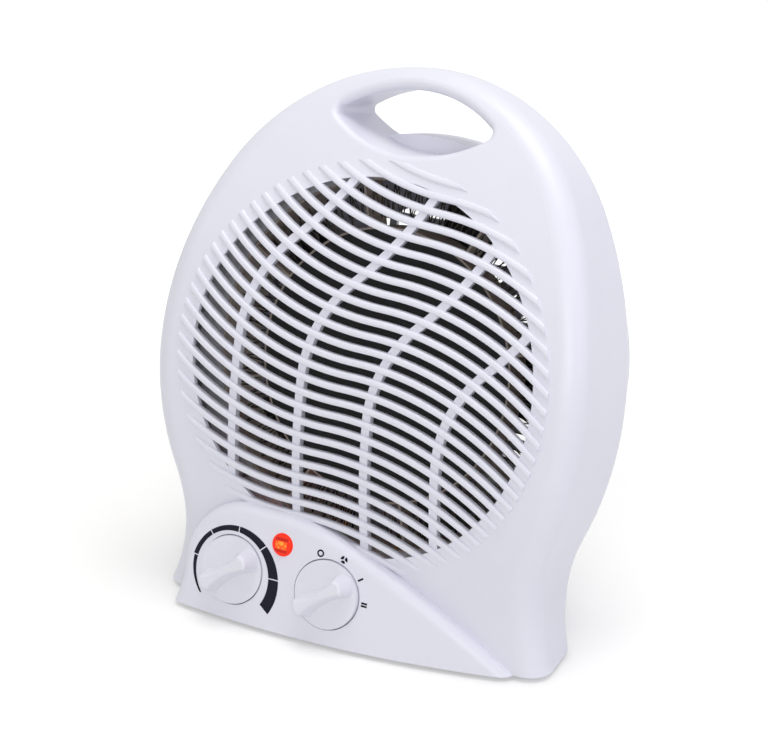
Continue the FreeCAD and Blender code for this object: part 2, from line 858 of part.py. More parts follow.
def stem(name, radius, low, high, x, y):
    """Upright round bar in the standing frame."""
    bar = doc.addObject("Part::Cylinder", name)
    bind(bar, "Radius", radius)
    bind(bar, "Height", as_size(high) - low)
    move(bar, x, y, low)
    return bar


def foot_holes(name, spread, reach_y):
    """Stem holes of one pair of feet, turned into the leaning frame."""
    holes = []
    for x in mirrored(spread):
        bar = doc.addObject("Part::Cylinder", f"foot_hole_{name}_{len(holes)}")
        bind(bar, "Radius", dim.foot_stem + dim.screw_play)
        bind(bar, "Height", dim.ground_gap + 2 * dim.wall)
        bar.Placement = standing * FreeCAD.Placement(Vec(x.value, reach_y.value, 0), FreeCAD.Rotation())
        holes.append(bar)
    return holes


def rounded_drum(name, inset, front):
    """Round rear housing with a rolled back edge."""
    radius = dim.drum_radius - inset
    back = dim.drum_back - inset
    roll = dim.drum_round - inset
    body = turned(
        name, (0, back), (0, front), (radius, front), (radius, back - roll), (radius - roll, back, roll, 1),
    )
    body.Placement = FreeCAD.Placement(Vec(0, 0, dim.drum_rise.value), FreeCAD.Rotation())
    return body


def heel_block(name, inset):
    """Upright heel behind the leaning body, which carries the rear feet."""
    body = new_body(name)
    sketch = sketch_in(body, "XY_Plane", f"{name}_plan")
    half = dim.heel_half - inset
    back = dim.heel_back - inset
    corner = dim.heel_round - inset
    draw(
        sketch, (half, -dim.foot_reach), (half, back - corner), (half - corner, back, corner, 1),
        (corner - half, back), (-half, back - corner, corner, 1), (-half, -dim.foot_reach),
    )
    pad = body.newObject("PartDesign::Pad", f"{name}_pad")
    pad.Profile = sketch
    bind(pad, "Length", dim.heel_top - inset)
    top = dim.heel_top.value - as_size(inset).value
    round_edges(body, f"{name}_round", corner, lambda edge: edge.BoundBox.ZMin > top - 0.01 and at_back(edge))
    body.Placement = standing
    return body


def at_back(edge):
    """True for a heel edge that isn't hidden at the front."""
    return edge.BoundBox.YMax > 1 - dim.foot_reach.value


def flange_blank(name, inset, front):
    body = plate(name, front, dim.parting + dim.flange - inset, *body_outline(inset))
    back = (dim.parting + dim.flange - inset).value
    lowest = 1 - dim.outline_floor.value
    round_edges(
        body, f"{name}_round", dim.flange_round - inset,
        lambda edge: edge.BoundBox.YMin > back - 0.01 and edge.BoundBox.ZMax > lowest,
    )
    return body


def vent_slots():
    """Rows of intake slots in the back wall, split by upright bars."""
    half, wide, thin = dim.vent_height / 2, dim.vent_radius, dim.vent_bar / 2
    first = dim.vent_pitch * (dim.vent_count - 1) / 2
    front, back = dim.drum_back - dim.drum_round, dim.drum_back + dim.wall
    slots = []
    for number in range(int(dim.vent_count.value)):
        level = first - number * dim.vent_pitch
        slots.append(block(f"slot_{number}", -wide, wide, front, back, level - half, level + half))
    field = common("slot_field", group("slots", slots), rod("slot_disc", wide, front, back))
    bars = []
    for k in (-1, 0, 1):
        middle = k * dim.vent_bar_step
        bars.append(block(f"bar_{k}", middle - thin, middle + thin, front, back, -wide, wide))
    return cut("slot_bars", field, group("bars", bars))


def make_rear_cover():
    drum = rounded_drum("drum_outer", as_size(0), dim.parting)
    heel = heel_block("heel_outer", as_size(0))
    ahead = block("ahead_of_parting", -reach, reach, -reach, dim.parting, -reach, reach)
    flange = flange_blank("flange_outer", as_size(0), dim.parting)
    outside = cut("rear_outside", fuse("rear_mass", flange, drum, heel), ahead)
    rim = plate("lens_rim_rear", 0, dim.drum_back, *handle_outline(dim.wall))
    lens = plate("lens_rear", 0, dim.drum_back, *handle_outline(as_size(0)))
    hollow = cut("flange_hollow", flange_blank("flange_inner", dim.wall, dim.parting - dim.wall), rim)
    heel_hollow = cut("heel_hollow", heel_block("heel_inner", dim.wall),
                      block("ahead_of_heel", -reach, reach, -reach, dim.parting - dim.wall, -reach, reach))
    drum_hollow = rounded_drum("drum_inner", dim.wall, dim.parting + dim.wall)
    inside = cut("rear_inside", fuse("rear_hollow", hollow, drum_hollow, heel_hollow),
                 floor_block("floor_rise_rear", dim.ground_gap + dim.wall))
    shell = cut("rear_shell", outside, inside)
    fixings = [rod(f"rear_boss_{k}", dim.boss_radius, dim.parting, dim.parting + dim.flange, x, w)
               for k, (x, w) in enumerate(shell_screws)]
    for k, angle in enumerate(post_angles):
        x, w = around(dim.post_circle, angle)
        fixings.append(rod(f"post_{k}", dim.post_radius, post_top, dim.drum_back, x, w))
    cover = fuse("rear_body", shell, common("rear_fixings", group("rear_fixing_rods", fixings), outside))
    drill = []
    pilot, head_way = dim.screw_radius + dim.screw_play, dim.screw_head + 3 * dim.screw_play
    for k, (x, w) in enumerate(shell_screws):
        drill.append(rod(f"screw_way_{k}", pilot, 0, dim.drum_back, x, w))
        drill.append(rod(f"head_way_{k}", head_way, screw_seat, dim.drum_back, x, w))
    for k, angle in enumerate(post_angles):
        x, w = around(dim.post_circle, angle)
        drill.append(rod(f"post_pilot_{k}", pilot, 0, post_top + dim.screw_reach, x, w))
    inlet = doc.addObject("Part::Cylinder", "inlet_hole")
    bind(inlet, "Radius", dim.inlet_radius + dim.screw_play)
    inlet.Height = dim.heel_back.value
    inlet_at = Vec(dim.inlet_x.value, dim.heel_round.value, dim.inlet_height.value)
    inlet.Placement = standing * FreeCAD.Placement(inlet_at, depthwise)
    drill.append(inlet)
    drill += foot_holes("rear", dim.foot_spread_back, dim.foot_reach)
    opening = cut("rear_opening", lens, drum)
    cover = cut("rear_drilled", cover, opening, vent_slots(), fuse("rear_holes", *drill),
                floor_block("floor_rear", dim.ground_gap))
    return node(cover, "rear_cover")


def screw(name, seat, length, x, w, ahead=False):
    """Round-headed screw along the depth: the head stands behind its seat, or ahead of it."""
    head = dim.screw_head_height
    if ahead:
        parts = [rod(f"{name}_head", dim.screw_head, seat - head, seat, x, w)]
        parts.append(rod(f"{name}_shank", dim.screw_radius, seat, seat + length, x, w))
    else:
        parts = [rod(f"{name}_head", dim.screw_head, seat, seat + head, x, w)]
        parts.append(rod(f"{name}_shank", dim.screw_radius, seat - length, seat, x, w))
    return fuse(name, *parts)


def make_fastenings():
    screws = [screw(f"shell_screw_{k}", screw_seat, dim.screw_reach + dim.screw_seat, x, w)
              for k, (x, w) in enumerate(shell_screws)]
    node(group("shell_screw_set", screws), "shell_screws")
    screws = []
    for k, angle in enumerate(post_angles):
        x, w = around(dim.post_circle, angle)
        seat = dim.spider_depth - dim.tab_thickness
        screws.append(screw(f"duct_screw_{k}", seat, dim.screw_reach, x, w, ahead=True))
    node(group("duct_screw_set", screws), "duct_screws")
    feet = []
    peg_top = dim.ground_gap + dim.foot_stem_length
    for spread, away in ((dim.foot_spread_front, -dim.foot_reach), (dim.foot_spread_back, dim.foot_reach)):
        for x in mirrored(spread):
            pad = stem(f"foot_pad_{len(feet)}", dim.foot_radius, 0, dim.ground_gap, x, away)
            peg = stem(f"foot_peg_{len(feet)}", dim.foot_stem, 0, peg_top, x, away)
            feet.append(fuse(f"foot_{len(feet)}", pad, peg))
    node(group("foot_set", feet), "rubber_feet", FreeCAD.Placement())


def make_inlet():
    gland = turned(
        "gland", (dim.inlet_bore, dim.inlet_flange_thickness), (dim.inlet_bore, -dim.inlet_inside),
        (dim.inlet_radius, -dim.inlet_inside), (dim.inlet_radius, 0), (dim.inlet_flange, 0),
        (dim.inlet_flange, dim.inlet_flange_thickness),
    )
    at = Vec(dim.inlet_x.value, dim.heel_back.value, dim.inlet_height.value)
    node(gland, "cord_gland", FreeCAD.Placement(at, FreeCAD.Rotation()))
    low = dim.ground_gap + dim.wall
    left, right = dim.inlet_x - dim.block_half, dim.inlet_x + dim.block_half
    base = block("terminal_base", left, right, dim.block_front, dim.block_front + dim.block_depth, low,
                 low + dim.block_height)
    well, middle = dim.screw_radius + dim.screw_play, dim.block_front + dim.block_depth / 2
    wells, screws = [], []
    for k in (-1, 0, 1):
        x = dim.inlet_x + k * dim.block_pole
        wells.append(stem(f"terminal_well_{k}", well, low + dim.wall, low + 2 * dim.block_height, x, middle))
        screws.append(stem(f"terminal_screw_{k}", dim.screw_radius, low + dim.wall, low + dim.block_height,
                           x, middle))
    node(cut("terminal_drilled", base, group("terminal_wells", wells)), "terminal_block", FreeCAD.Placement())
    node(group("terminal_screw_set", screws), "terminal_screws", FreeCAD.Placement())


def knob(name, label, x):
    """Flush dial with a waisted grip across it and a hub that takes the spindle."""
    face, back = dim.dial_face, dim.dial_face + dim.dial_thickness
    hub_end = cup_back - dim.hub_play
    bore_end = hub_end - dim.spindle_grip
    body = turned(
        name, (0, bore_end), (0, face), (dim.dial_radius, face), (dim.dial_radius, back),
        (dim.hub_radius, back), (dim.hub_radius, hub_end), (dim.spindle_radius, hub_end),
        (dim.spindle_radius, bore_end),
    )
    sketch = sketch_in(body, "XZ_Plane", f"{name}_grip_plan", -face)
    end, tip = dim.blade_end, dim.blade_tip
    high = dim.dial_radius - dim.blade_inset - tip + root(tip * tip - end * end)
    pinch = end - dim.blade_waist
    bow = (high * high + pinch * pinch) / (2 * pinch)
    draw(
        sketch, (end, -high, tip, 1), (end, high, bow, -1), (-end, high, tip, 1), (-end, -high, bow, -1),
    )
    grip = body.newObject("PartDesign::Pad", f"{name}_grip")
    grip.Profile = sketch
    bind(grip, "Length", dim.blade_height)
    bind(grip, "TaperAngle", -dim.blade_taper)
    front = (face - dim.blade_height).value
    round_edges(body, f"{name}_soft", dim.blade_round, lambda edge: edge.BoundBox.YMax < front + 0.01)
    node(body, label, offset_place(x, 0, dim.dial_level, dim.dial_rest.value))
    spindle_end = cup_back + dim.thermostat_depth
    spindle = turned(
        f"{name}_spindle", (0, spindle_end), (0, bore_end), (dim.spindle_radius, bore_end),
        (dim.spindle_radius, spindle_end),
    )
    return spindle, offset_place(x, 0, dim.dial_level, dim.dial_rest.value)


def make_controls():
    left, right = dial_x(-1), dial_x(1)
    spindle, place = knob("thermostat_dial", "thermostat_knob", left)
    node(spindle, "thermostat_spindle", place)
    spindle, place = knob("selector_dial", "selector_knob", right)
    node(spindle, "selector_spindle", place)
    half, level = dim.thermostat_half, dim.dial_level
    back = cup_back + dim.thermostat_depth
    body = block("thermostat_base", left - half, left + half, cup_back, back, level - half, level + half)
    bore = rod("thermostat_bore", dim.spindle_radius + dim.spindle_play, 0, back + 1, left, level)
    node(cut("thermostat_drilled", body, bore), "thermostat_body")
    strip_back = back + dim.bimetal_gap + dim.bimetal_thickness
    strip = block("bimetal_strip", left - half, left + half, back + dim.bimetal_gap, strip_back,
                  level - dim.spindle_radius, level + dim.spindle_radius)
    foot = block("bimetal_foot", left - half, left - half + dim.bimetal_gap * 2, back, strip_back,
                 level - dim.spindle_radius, level + dim.spindle_radius)
    node(fuse("bimetal", strip, foot), "thermostat_bimetal")
    back = cup_back + dim.switch_depth
    body = rod("switch_base", dim.switch_radius, cup_back, back, right, level)
    bore_end = cup_back + dim.thermostat_depth + 1
    bore = rod("switch_bore", dim.spindle_radius + dim.spindle_play, 0, bore_end, right, level)
    node(cut("switch_drilled", body, bore), "selector_switch")
    thin = dim.switch_tab_thickness / 2
    tabs = []
    for k in (-1, 0, 1):
        x = right + k * dim.switch_tab
        tabs.append(block(f"switch_tab_{k}", x - thin, x + thin, back, back + dim.switch_tab,
                          level - dim.spindle_radius, level + dim.spindle_radius))
    node(group("switch_tab_set", tabs), "selector_terminals")
    seat = dim.hump_front + dim.wall + dim.screw_play
    brim = seat + dim.bimetal_thickness
    lens = turned(
        "lamp_lens", (0, brim), (0, dim.hump_front - dim.lamp_bulge),
        (dim.lamp_radius, dim.hump_front, dim.lamp_dome, 1), (dim.lamp_radius, seat), (dim.lamp_flange, seat),
        (dim.lamp_flange, brim),
    )
    node(lens, "indicator_lens", offset_place(dim.dial_middle, 0, dim.lamp_level))
    neon = dim.lamp_radius - dim.screw_radius / 2
    tube_end = brim + dim.lamp_tube
    tube = turned("lamp_body", (0, tube_end), (0, brim), (neon, brim), (neon, tube_end))
    node(tube, "indicator_lamp", offset_place(dim.dial_middle, 0, dim.lamp_level))


def zigzag(depth):
    """One resistance wire wound to and fro across the duct, as a single unbroken tube."""
    loops = int(dim.wire_loops.value)
    half_step = math.pi / loops / 2
    near, far = dim.wire_inner.value, dim.wire_outer.value
    runs = 2 * loops - 2
    edges = []
    last = None
    for run in range(runs):
        angle = -math.pi / 2 + half_step * (2 * run + 3)
        inward = run % 2 == 0
        tail = run in (0, runs - 1)
        inner = polar(near * math.cos(half_step), angle, depth)
        outer = polar(wire_end.value if tail else far * math.cos(half_step), angle, depth)
        start, end = (outer, inner) if inward else (inner, outer)
        if last is not None:
            turn_at = far if inward else near
            bulge = turn_at * math.sin(half_step) * (1 if inward else -1)
            edges.append(Part.Arc(last, polar(turn_at + bulge, angle - half_step, depth), start).toShape())
        edges.append(Part.LineSegment(start, end).toShape())
        last = end
    path = Part.Wire(edges)
    begin = edges[0].valueAt(edges[0].FirstParameter)
    heading = edges[0].tangentAt(edges[0].FirstParameter)
    section = Part.Wire([Part.Circle(begin, heading, dim.wire_radius.value).toShape()])
    return path, path.makePipeShell([section], True, False)


def polar(radius, angle, depth):
    return Vec(radius * math.cos(angle), depth, radius * math.sin(angle))


def least_gap(path):
    """Closest approach of the wire to itself between stretches that aren't neighbours."""
    points = path.discretize(Distance=1.0)
    apart = int(4 * dim.wire_inner.value * math.sin(math.pi / dim.wire_loops.value / 2))
    gaps = [(a - b).Length for i, a in enumerate(points) for b in points[i + apart:i + 6 * apart]]
    return min(gaps) - 2 * dim.wire_radius.value


def make_element():
    back = dim.spider_depth
    brim = dim.duct_front + dim.duct_wall
    ring = turned(
        "duct", (dim.duct_radius, back), (dim.duct_radius, dim.duct_front), (dim.duct_flange, dim.duct_front),
        (dim.duct_flange, brim), (duct_outside, brim), (duct_outside, back),
    )
    flats = [block(f"duct_flat_{k}", -reach, reach, 0, brim + dim.duct_wall, low, high)
             for k, (low, high) in enumerate(((-reach, -dim.duct_flat), (dim.duct_flat, reach)))]
    tab_start, tab_end = dim.duct_radius + dim.duct_wall / 2, dim.post_circle + dim.post_radius
    tabs = [spoke(f"duct_tab_{k}", angle, tab_start, tab_end, back - dim.tab_thickness, back, dim.tab_width)
            for k, angle in enumerate(post_angles)]
    ways = []
    for k, angle in enumerate(post_angles):
        x, w = around(dim.post_circle, angle)
        ways.append(rod(f"duct_way_{k}", dim.screw_radius + dim.screw_play, 0, dim.drum_back, x, w))
    tabbed = fuse("duct_tabbed", ring, *tabs)
    node(cut("duct_drilled", tabbed, *flats, group("duct_ways", ways)), "duct_ring")
    liner_outside = dim.duct_radius - dim.liner_play
    liner_back = dim.liner_front + dim.liner_length
    liner = turned(
        "liner", (liner_inside, liner_back), (liner_inside, dim.liner_front),
        (liner_outside, dim.liner_front), (liner_outside, liner_back),
    )
    node(liner, "duct_liner")
    core_inside = dim.core_radius - dim.core_wall
    core_back = dim.core_front + dim.core_length
    core = turned(
        "core", (core_inside, core_back), (core_inside, dim.core_front), (dim.core_radius, dim.core_front),
        (dim.core_radius, core_back),
    )
    node(core, "element_core")
    shield_back = dim.shield_depth + dim.shield_thickness
    shield = turned("shield", (0, shield_back), (0, dim.shield_depth), (core_inside, dim.shield_depth),
                    (core_inside, shield_back))
    node(shield, "deflector_disc")
    stages = [dim.wire_first + k * dim.wire_step for k in (0, 1)]
    half_step = math.pi / dim.wire_loops.value / 2
    notch_at = dim.wire_inner * (1 - math.sin(half_step))
    fins = []
    for k in range(int(dim.fin_count.value)):
        angle = 360 / dim.fin_count.value * k + 4 * math.degrees(half_step)
        fin = spoke(
            f"fin_blank_{k}", angle, core_inside, duct_outside, dim.core_front, core_back, dim.fin_thickness,
        )
        notches = []
        for n, depth in enumerate(stages):
            notches.append(spoke(
                f"fin_notch_{k}_{n}", angle, notch_at - dim.wire_radius, notch_at + dim.notch,
                depth - dim.notch, depth + dim.notch, 2 * dim.fin_thickness,
            ))
        fin = cut(f"fin_{k}", fin, *notches)
        fins.append(cut(f"fin_inner_{k}", fin, rod(f"fin_core_{k}", dim.core_radius, 0, dim.parting)))
    fins = common("fin_trim", group("fin_set", fins), rod("fin_duct", liner_inside, 0, dim.parting))
    node(fins, "element_fins")
    for label, depth in zip(("heating_wire_front", "heating_wire_back"), stages):
        path, tube = zigzag(depth.value)
        print(label, "least gap", round(least_gap(path), 2))
        wire = doc.addObject("Part::Feature", f"{label}_tube")
        wire.Shape = tube
        node(wire, label)
    aside = 3 * math.degrees(half_step)
    clips = [spoke(f"clip_{side}_{n}", side * aside - 90, wire_end, duct_outside, depth - dim.terminal_half,
                   depth + dim.terminal_half, dim.terminal_half)
             for side in (-1, 1) for n, depth in enumerate(stages)]
    clips = common("clip_trim", group("clip_set", clips), rod("clip_duct", liner_inside, 0, dim.parting))
    node(clips, "element_terminals")
    cutout = block(
        "cutout", -dim.cutout_half, dim.cutout_half, dim.wire_first, dim.wire_first + dim.cutout_length,
        duct_outside, duct_outside + dim.cutout_height,
    )
    node(group("cutout_set", [cutout]), "thermal_cutout")


def make_motor():
    front = dim.stator_front
    back = front + dim.stator_depth
    half = dim.stator_half
    bottom = -dim.window_top - dim.window_height
    bolts = [(x, 0) for x in mirrored(dim.bolt_half)]
    stack = block("stack", -half, half, front, back, bottom - dim.limb, dim.stator_top)
    wide = dim.window_half
    window = block("stack_window", -wide, wide, 0, dim.drum_back, bottom, -dim.window_top)
    bore = rod("stack_bore", dim.rotor_radius + dim.air_gap, 0, dim.drum_back)
    ways = [rod(f"stack_way_{k}", dim.bolt_radius + dim.bolt_play, 0, dim.drum_back, x, w)
            for k, (x, w) in enumerate(bolts)]
    node(cut("stack_drilled", stack, window, bore, group("stack_ways", ways)), "stator_stack")
    make_coil(front, back, bottom)
    rotor = turned("rotor_core", (dim.shaft_radius, back), (dim.shaft_radius, front),
                   (dim.rotor_radius, front), (dim.rotor_radius, back))
    node(rotor, "rotor")
    shaft = turned("shaft", (0, dim.shaft_back), (0, dim.shaft_front), (dim.shaft_radius, dim.shaft_front),
                   (dim.shaft_radius, dim.shaft_back))
    node(shaft, "motor_shaft")
    bracket_front = dim.spider_depth + dim.spider_thickness
    gap = front - bracket_front
    bushes = []
    for label, near, far in (("front_bracket", bracket_front, front), ("rear_bracket", back + gap, back)):
        toward = 1 if label == "front_bracket" else -1
        strap_end = near + toward * dim.bracket_thickness
        low, high = (near, strap_end) if toward > 0 else (strap_end, near)
        solids = [block(f"{label}_strap", -half, half, low, high, -dim.bracket_half, dim.bracket_half)]
        foot_low, foot_high = (low, far) if toward > 0 else (far, high)
        solids += [rod(f"{label}_foot_{k}", dim.bush_radius, foot_low, foot_high, x, w)
                   for k, (x, w) in enumerate(bolts)]
        boss_end = near + toward * (dim.bush_length - dim.bracket_thickness)
        ends = (near, boss_end) if toward > 0 else (boss_end, near)
        solids.append(rod(f"{label}_boss", dim.bracket_boss, *ends))
        bush_way = rod(f"{label}_bush_way", dim.bush_radius, 0, dim.drum_back)
        holes = [rod(f"{label}_way_{k}", dim.bolt_radius + dim.bolt_play, 0, dim.drum_back, x, w)
                 for k, (x, w) in enumerate(bolts)]
        node(cut(label, fuse(f"{label}_mass", *solids), group(f"{label}_ways", [bush_way] + holes)), label)
        bush_low = boss_end - dim.bush_length if toward > 0 else boss_end
        bush_high = bush_low + dim.bush_length
        bush = rod(f"{label}_bush", dim.bush_radius, bush_low, bush_high)
        bushes.append(cut(f"{label}_bored", bush, rod(f"{label}_bore", dim.shaft_radius + dim.bearing_play, 0,
                                                      dim.drum_back)))
    node(group("bush_set", bushes), "bearing_bushes")
    bolt_seat = back + gap
    set_of_bolts = []
    for k, (x, w) in enumerate(bolts):
        shank = rod(f"bolt_shank_{k}", dim.bolt_radius, dim.spider_depth, bolt_seat, x, w)
        head = rod(f"bolt_head_{k}", 2 * dim.bolt_radius, bolt_seat, bolt_seat + dim.bolt_radius, x, w)
        set_of_bolts.append(fuse(f"bolt_{k}", shank, head))
    node(group("bolt_set", set_of_bolts), "motor_bolts")
    make_spider(bolts)
    make_fan()


def make_coil(front, back, bottom):
    """Bobbin on the lower limb of the stack, with its winding."""
    low, high = bottom - dim.limb, bottom
    play, wall, build = dim.bobbin_play, dim.bobbin_wall, dim.coil_build
    side = dim.coil_half + wall
    grown = play + wall
    tube = block("bobbin_tube", -side, side, front - grown, back + grown, low - grown, high + grown)
    brims = [block(f"bobbin_brim_{k}", near, near + wall, front - grown - build, back + grown + build,
                   low - grown - build, high + grown + build) for k, near in enumerate((-side, side - wall))]
    limb = block("bobbin_way", -half_reach, half_reach, front - play, back + play, low - play, high + play)
    node(cut("bobbin", fuse("bobbin_mass", tube, *brims), limb), "coil_bobbin")
    wound = block("coil_mass", -dim.coil_half, dim.coil_half, front - grown - build, back + grown + build,
                  low - grown - build, high + grown + build)
    core = block("coil_core", -half_reach, half_reach, front - grown, back + grown, low - grown, high + grown)
    node(cut("coil", wound, core), "motor_coil")


def make_spider(bolts):
    """Sheet-metal carrier of the motor: a ring on four arms that reach the posts."""
    front, back = dim.spider_depth, post_top
    ring = turned("spider_hub", (dim.spider_bore, back), (dim.spider_bore, front), (dim.spider_ring, front),
                  (dim.spider_ring, back))
    middle = (dim.spider_bore + dim.spider_ring) / 2
    arm_end = dim.post_circle + dim.post_radius
    arms = [spoke(f"spider_arm_{k}", angle, middle, arm_end, front, back, dim.spider_arm)
            for k, angle in enumerate(post_angles)]
    ways = [rod(f"spider_bolt_{k}", dim.bolt_radius, 0, dim.drum_back, x, w)
            for k, (x, w) in enumerate(bolts)]
    for k, angle in enumerate(post_angles):
        x, w = around(dim.post_circle, angle)
        ways.append(rod(f"spider_way_{k}", dim.screw_radius + dim.screw_play, 0, dim.drum_back, x, w))
    node(cut("spider", fuse("spider_mass", ring, *arms), group("spider_ways", ways)), "motor_spider")


def fan_section(radius, pitch, chord):
    """Cross-section of a fan blade at one radius, pitched about the spoke it lies on."""
    turn = math.radians(pitch)
    along = Vec(0, math.sin(turn), math.cos(turn)) * (chord / 2)
    across = Vec(0, math.cos(turn), -math.sin(turn)) * (dim.fan_blade_thickness.value / 2)
    middle = Vec(radius, dim.fan_middle.value, 0)
    front, back = middle - across, middle + across
    corners = [front - along, front + along, back + along, back - along]
    return Part.makePolygon(corners + corners[:1])


def make_fan():
    half = dim.fan_hub_length / 2
    front, back = dim.fan_middle - half, dim.fan_middle + half
    hub = turned("fan_hub_body", (0, dim.shaft_front), (0, front), (dim.fan_hub, front), (dim.fan_hub, back),
                 (dim.shaft_radius, back), (dim.shaft_radius, dim.shaft_front))
    tip_at = dim.fan_radius.value + dim.fan_overshoot.value
    inner = fan_section(dim.fan_root.value, dim.fan_root_pitch.value, dim.fan_root_chord.value)
    outer = fan_section(tip_at, dim.fan_tip_pitch.value, dim.fan_tip_chord.value)
    blade = Part.makeLoft([inner, outer], True, True)
    count = int(dim.fan_blades.value)
    copies = [blade.rotated(Vec(), Vec(0, 1, 0), 360 / count * k) for k in range(count)]
    blades = doc.addObject("Part::Feature", "fan_blade_set")
    blades.Shape = Part.makeCompound(copies)
    start, sweep_front = dim.shaft_radius * 2, dim.parting - half
    ring = turned("fan_sweep", (start, sweep_front), (dim.fan_radius, sweep_front),
                  (dim.fan_radius, dim.spider_depth), (start, dim.spider_depth))
    node(fuse("fan_whole", hub, common("fan_blade_trim", blades, ring)), "fan_impeller")


make_front_cover()
make_rear_cover()
make_fastenings()
make_inlet()
make_controls()
make_element()
make_motor()
doc.recompute()

for item in doc.Objects:
    if {"Invalid", "Error"} & set(item.State):
        raise RuntimeError(f"{item.Name} failed: {item.getStatusString()}")
for item in nodes:
    if item.Shape.isNull() or not item.Shape.isValid():
        raise RuntimeError(f"{item.Label} has no valid shape")

os.makedirs("parts", exist_ok=True)
for item in nodes:
    item.Shape.exportStep(f"parts/{item.Label}.step")
    print(item.Label, len(item.Shape.Solids), round(item.Shape.Volume))
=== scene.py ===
import bpy
import json
import math
from mathutils import Matrix, Vector


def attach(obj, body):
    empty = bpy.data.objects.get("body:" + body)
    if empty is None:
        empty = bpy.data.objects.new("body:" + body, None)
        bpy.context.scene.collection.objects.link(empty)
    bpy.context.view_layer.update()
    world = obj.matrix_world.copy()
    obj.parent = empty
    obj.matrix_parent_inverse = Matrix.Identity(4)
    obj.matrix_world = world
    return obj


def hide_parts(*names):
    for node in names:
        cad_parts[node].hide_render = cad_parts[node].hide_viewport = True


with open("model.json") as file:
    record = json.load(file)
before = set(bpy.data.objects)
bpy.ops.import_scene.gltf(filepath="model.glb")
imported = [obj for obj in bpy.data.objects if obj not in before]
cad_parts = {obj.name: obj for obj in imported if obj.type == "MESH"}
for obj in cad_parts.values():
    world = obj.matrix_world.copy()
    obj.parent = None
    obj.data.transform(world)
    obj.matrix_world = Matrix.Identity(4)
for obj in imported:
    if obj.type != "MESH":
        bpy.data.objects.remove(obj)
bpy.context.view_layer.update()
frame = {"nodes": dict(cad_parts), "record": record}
nodes = frame["nodes"]
mm = 0.001
hair = 0.01 * mm
quarter = math.pi / 2
crease = math.radians(35)  # edges sharper than this stay sharp

# the face of the heater leans back, and the pieces are drawn in its frame: across, inwards and up the face
stance = {
    "lean": 14.7,  # degrees
    "faceMiddle": (0, -37.53, 133),  # middle of the grille above the floor
}
lean = math.radians(stance["lean"])
leanTurn = (-lean, 0, 0)
leanPlace = tuple(size * mm for size in stance["faceMiddle"])


def leaned(x, y, w):
    # where a point of the leaning frame lies in the heater's own frame
    return (leanPlace[0] + x, leanPlace[1] + y * math.cos(lean) + w * math.sin(lean),
            leanPlace[2] - y * math.sin(lean) + w * math.cos(lean))


class Socket:
    # one output of a node, so that shader maths reads as plain arithmetic
    def __init__(self, tree, out):
        self.tree = tree
        self.out = out

    def maths(self, operation, *others):
        node = self.tree.nodes.new("ShaderNodeMath")
        node.operation = operation
        for index, item in enumerate((self,) + others):
            plug(self.tree, node.inputs[index], item)
        return Socket(self.tree, node.outputs[0])

    def __add__(self, other):
        return self.maths("ADD", other)

    def __sub__(self, other):
        return self.maths("SUBTRACT", other)

    def __mul__(self, other):
        return self.maths("MULTIPLY", other)

    def __rsub__(self, other):
        return (self * -1).maths("ADD", other)

    __radd__ = __add__
    __rmul__ = __mul__

    def below(self, level):
        return self.maths("LESS_THAN", level)

    def size(self):
        return self.maths("ABSOLUTE")

    def most(self, other):
        return self.maths("MAXIMUM", other)


def plug(tree, entry, item):
    if isinstance(item, Socket):
        tree.links.new(item.out, entry)
    else:
        entry.default_value = item


def rgba(colour):
    return (*colour, 1.0)


def setStops(node, stops):
    elements = node.color_ramp.elements
    while len(elements) < len(stops):
        elements.new(0.5)
    for element, (place, colour) in zip(elements, stops):
        element.position = place
        element.color = rgba(colour)


class Finish:
    # a material with one Principled shader, built up by calls
    def __init__(self, name, **constants):
        self.material = bpy.data.materials.new(name)
        self.material.use_nodes = True
        self.tree = self.material.node_tree
        self.shader = self.tree.nodes["Principled BSDF"]
        self.set(**constants)

    def set(self, **entries):
        for label, item in entries.items():
            plug(self.tree, self.shader.inputs[label.replace("_", " ")], item)

    def node(self, kind, settings=None, output=0, **entries):
        made = self.tree.nodes.new(kind)
        for label, item in (settings or {}).items():
            if label == "stops":
                setStops(made, item)
            else:
                setattr(made, label, item)
        for label, item in entries.items():
            plug(self.tree, made.inputs[label.replace("_", " ")], item)
        return Socket(self.tree, made.outputs[output])

    def spot(self):
        return self.node("ShaderNodeTexCoord", output="Object")

    def noise(self, scale, detail=3.0, spot=None):
        return self.node("ShaderNodeTexNoise", None, "Fac", Vector=spot or self.spot(), Scale=scale,
                         Detail=detail)

    def cells(self, scale):
        # one value for each cell of a broken-up surface
        cell = self.node("ShaderNodeTexVoronoi", None, "Color", Vector=self.spot(), Scale=scale)
        return self.node("ShaderNodeSeparateColor", None, "Red", Color=cell)

    def ramp(self, level, stops):
        return self.node("ShaderNodeValToRGB", {"stops": stops}, "Color", Fac=level)

    def blend(self, factor, first, second):
        # the colour sockets of a Mix node go by number, because its other kinds share their names
        made = self.tree.nodes.new("ShaderNodeMix")
        made.data_type = "RGBA"
        plug(self.tree, made.inputs[0], factor)
        plug(self.tree, made.inputs[6], first if isinstance(first, Socket) else rgba(first))
        plug(self.tree, made.inputs[7], second if isinstance(second, Socket) else rgba(second))
        return Socket(self.tree, made.outputs[2])

    def vary(self, level, dark, bright, gloss, swing):
        # colour and roughness that follow one pattern
        self.set(Base_Color=self.blend(level, dark, bright), Roughness=gloss + level * swing)

    def bump(self, height, strength, distance):
        self.set(Normal=self.node("ShaderNodeBump", None, "Normal", Height=height, Strength=strength,
                                  Distance=distance))


# a finish lists the scale of its patterns, its roughness as "gloss", and the strength and depth of its bump
plastic = {
    "ior": 1.49,
    "detail": 2.0,
    "cloud": 35.0, "shade": 0.965,  # wide patches that are a little darker
    "grain": 2600.0, "swing": 0.10, "depth": 0.00006,  # fine grain of the mould
}


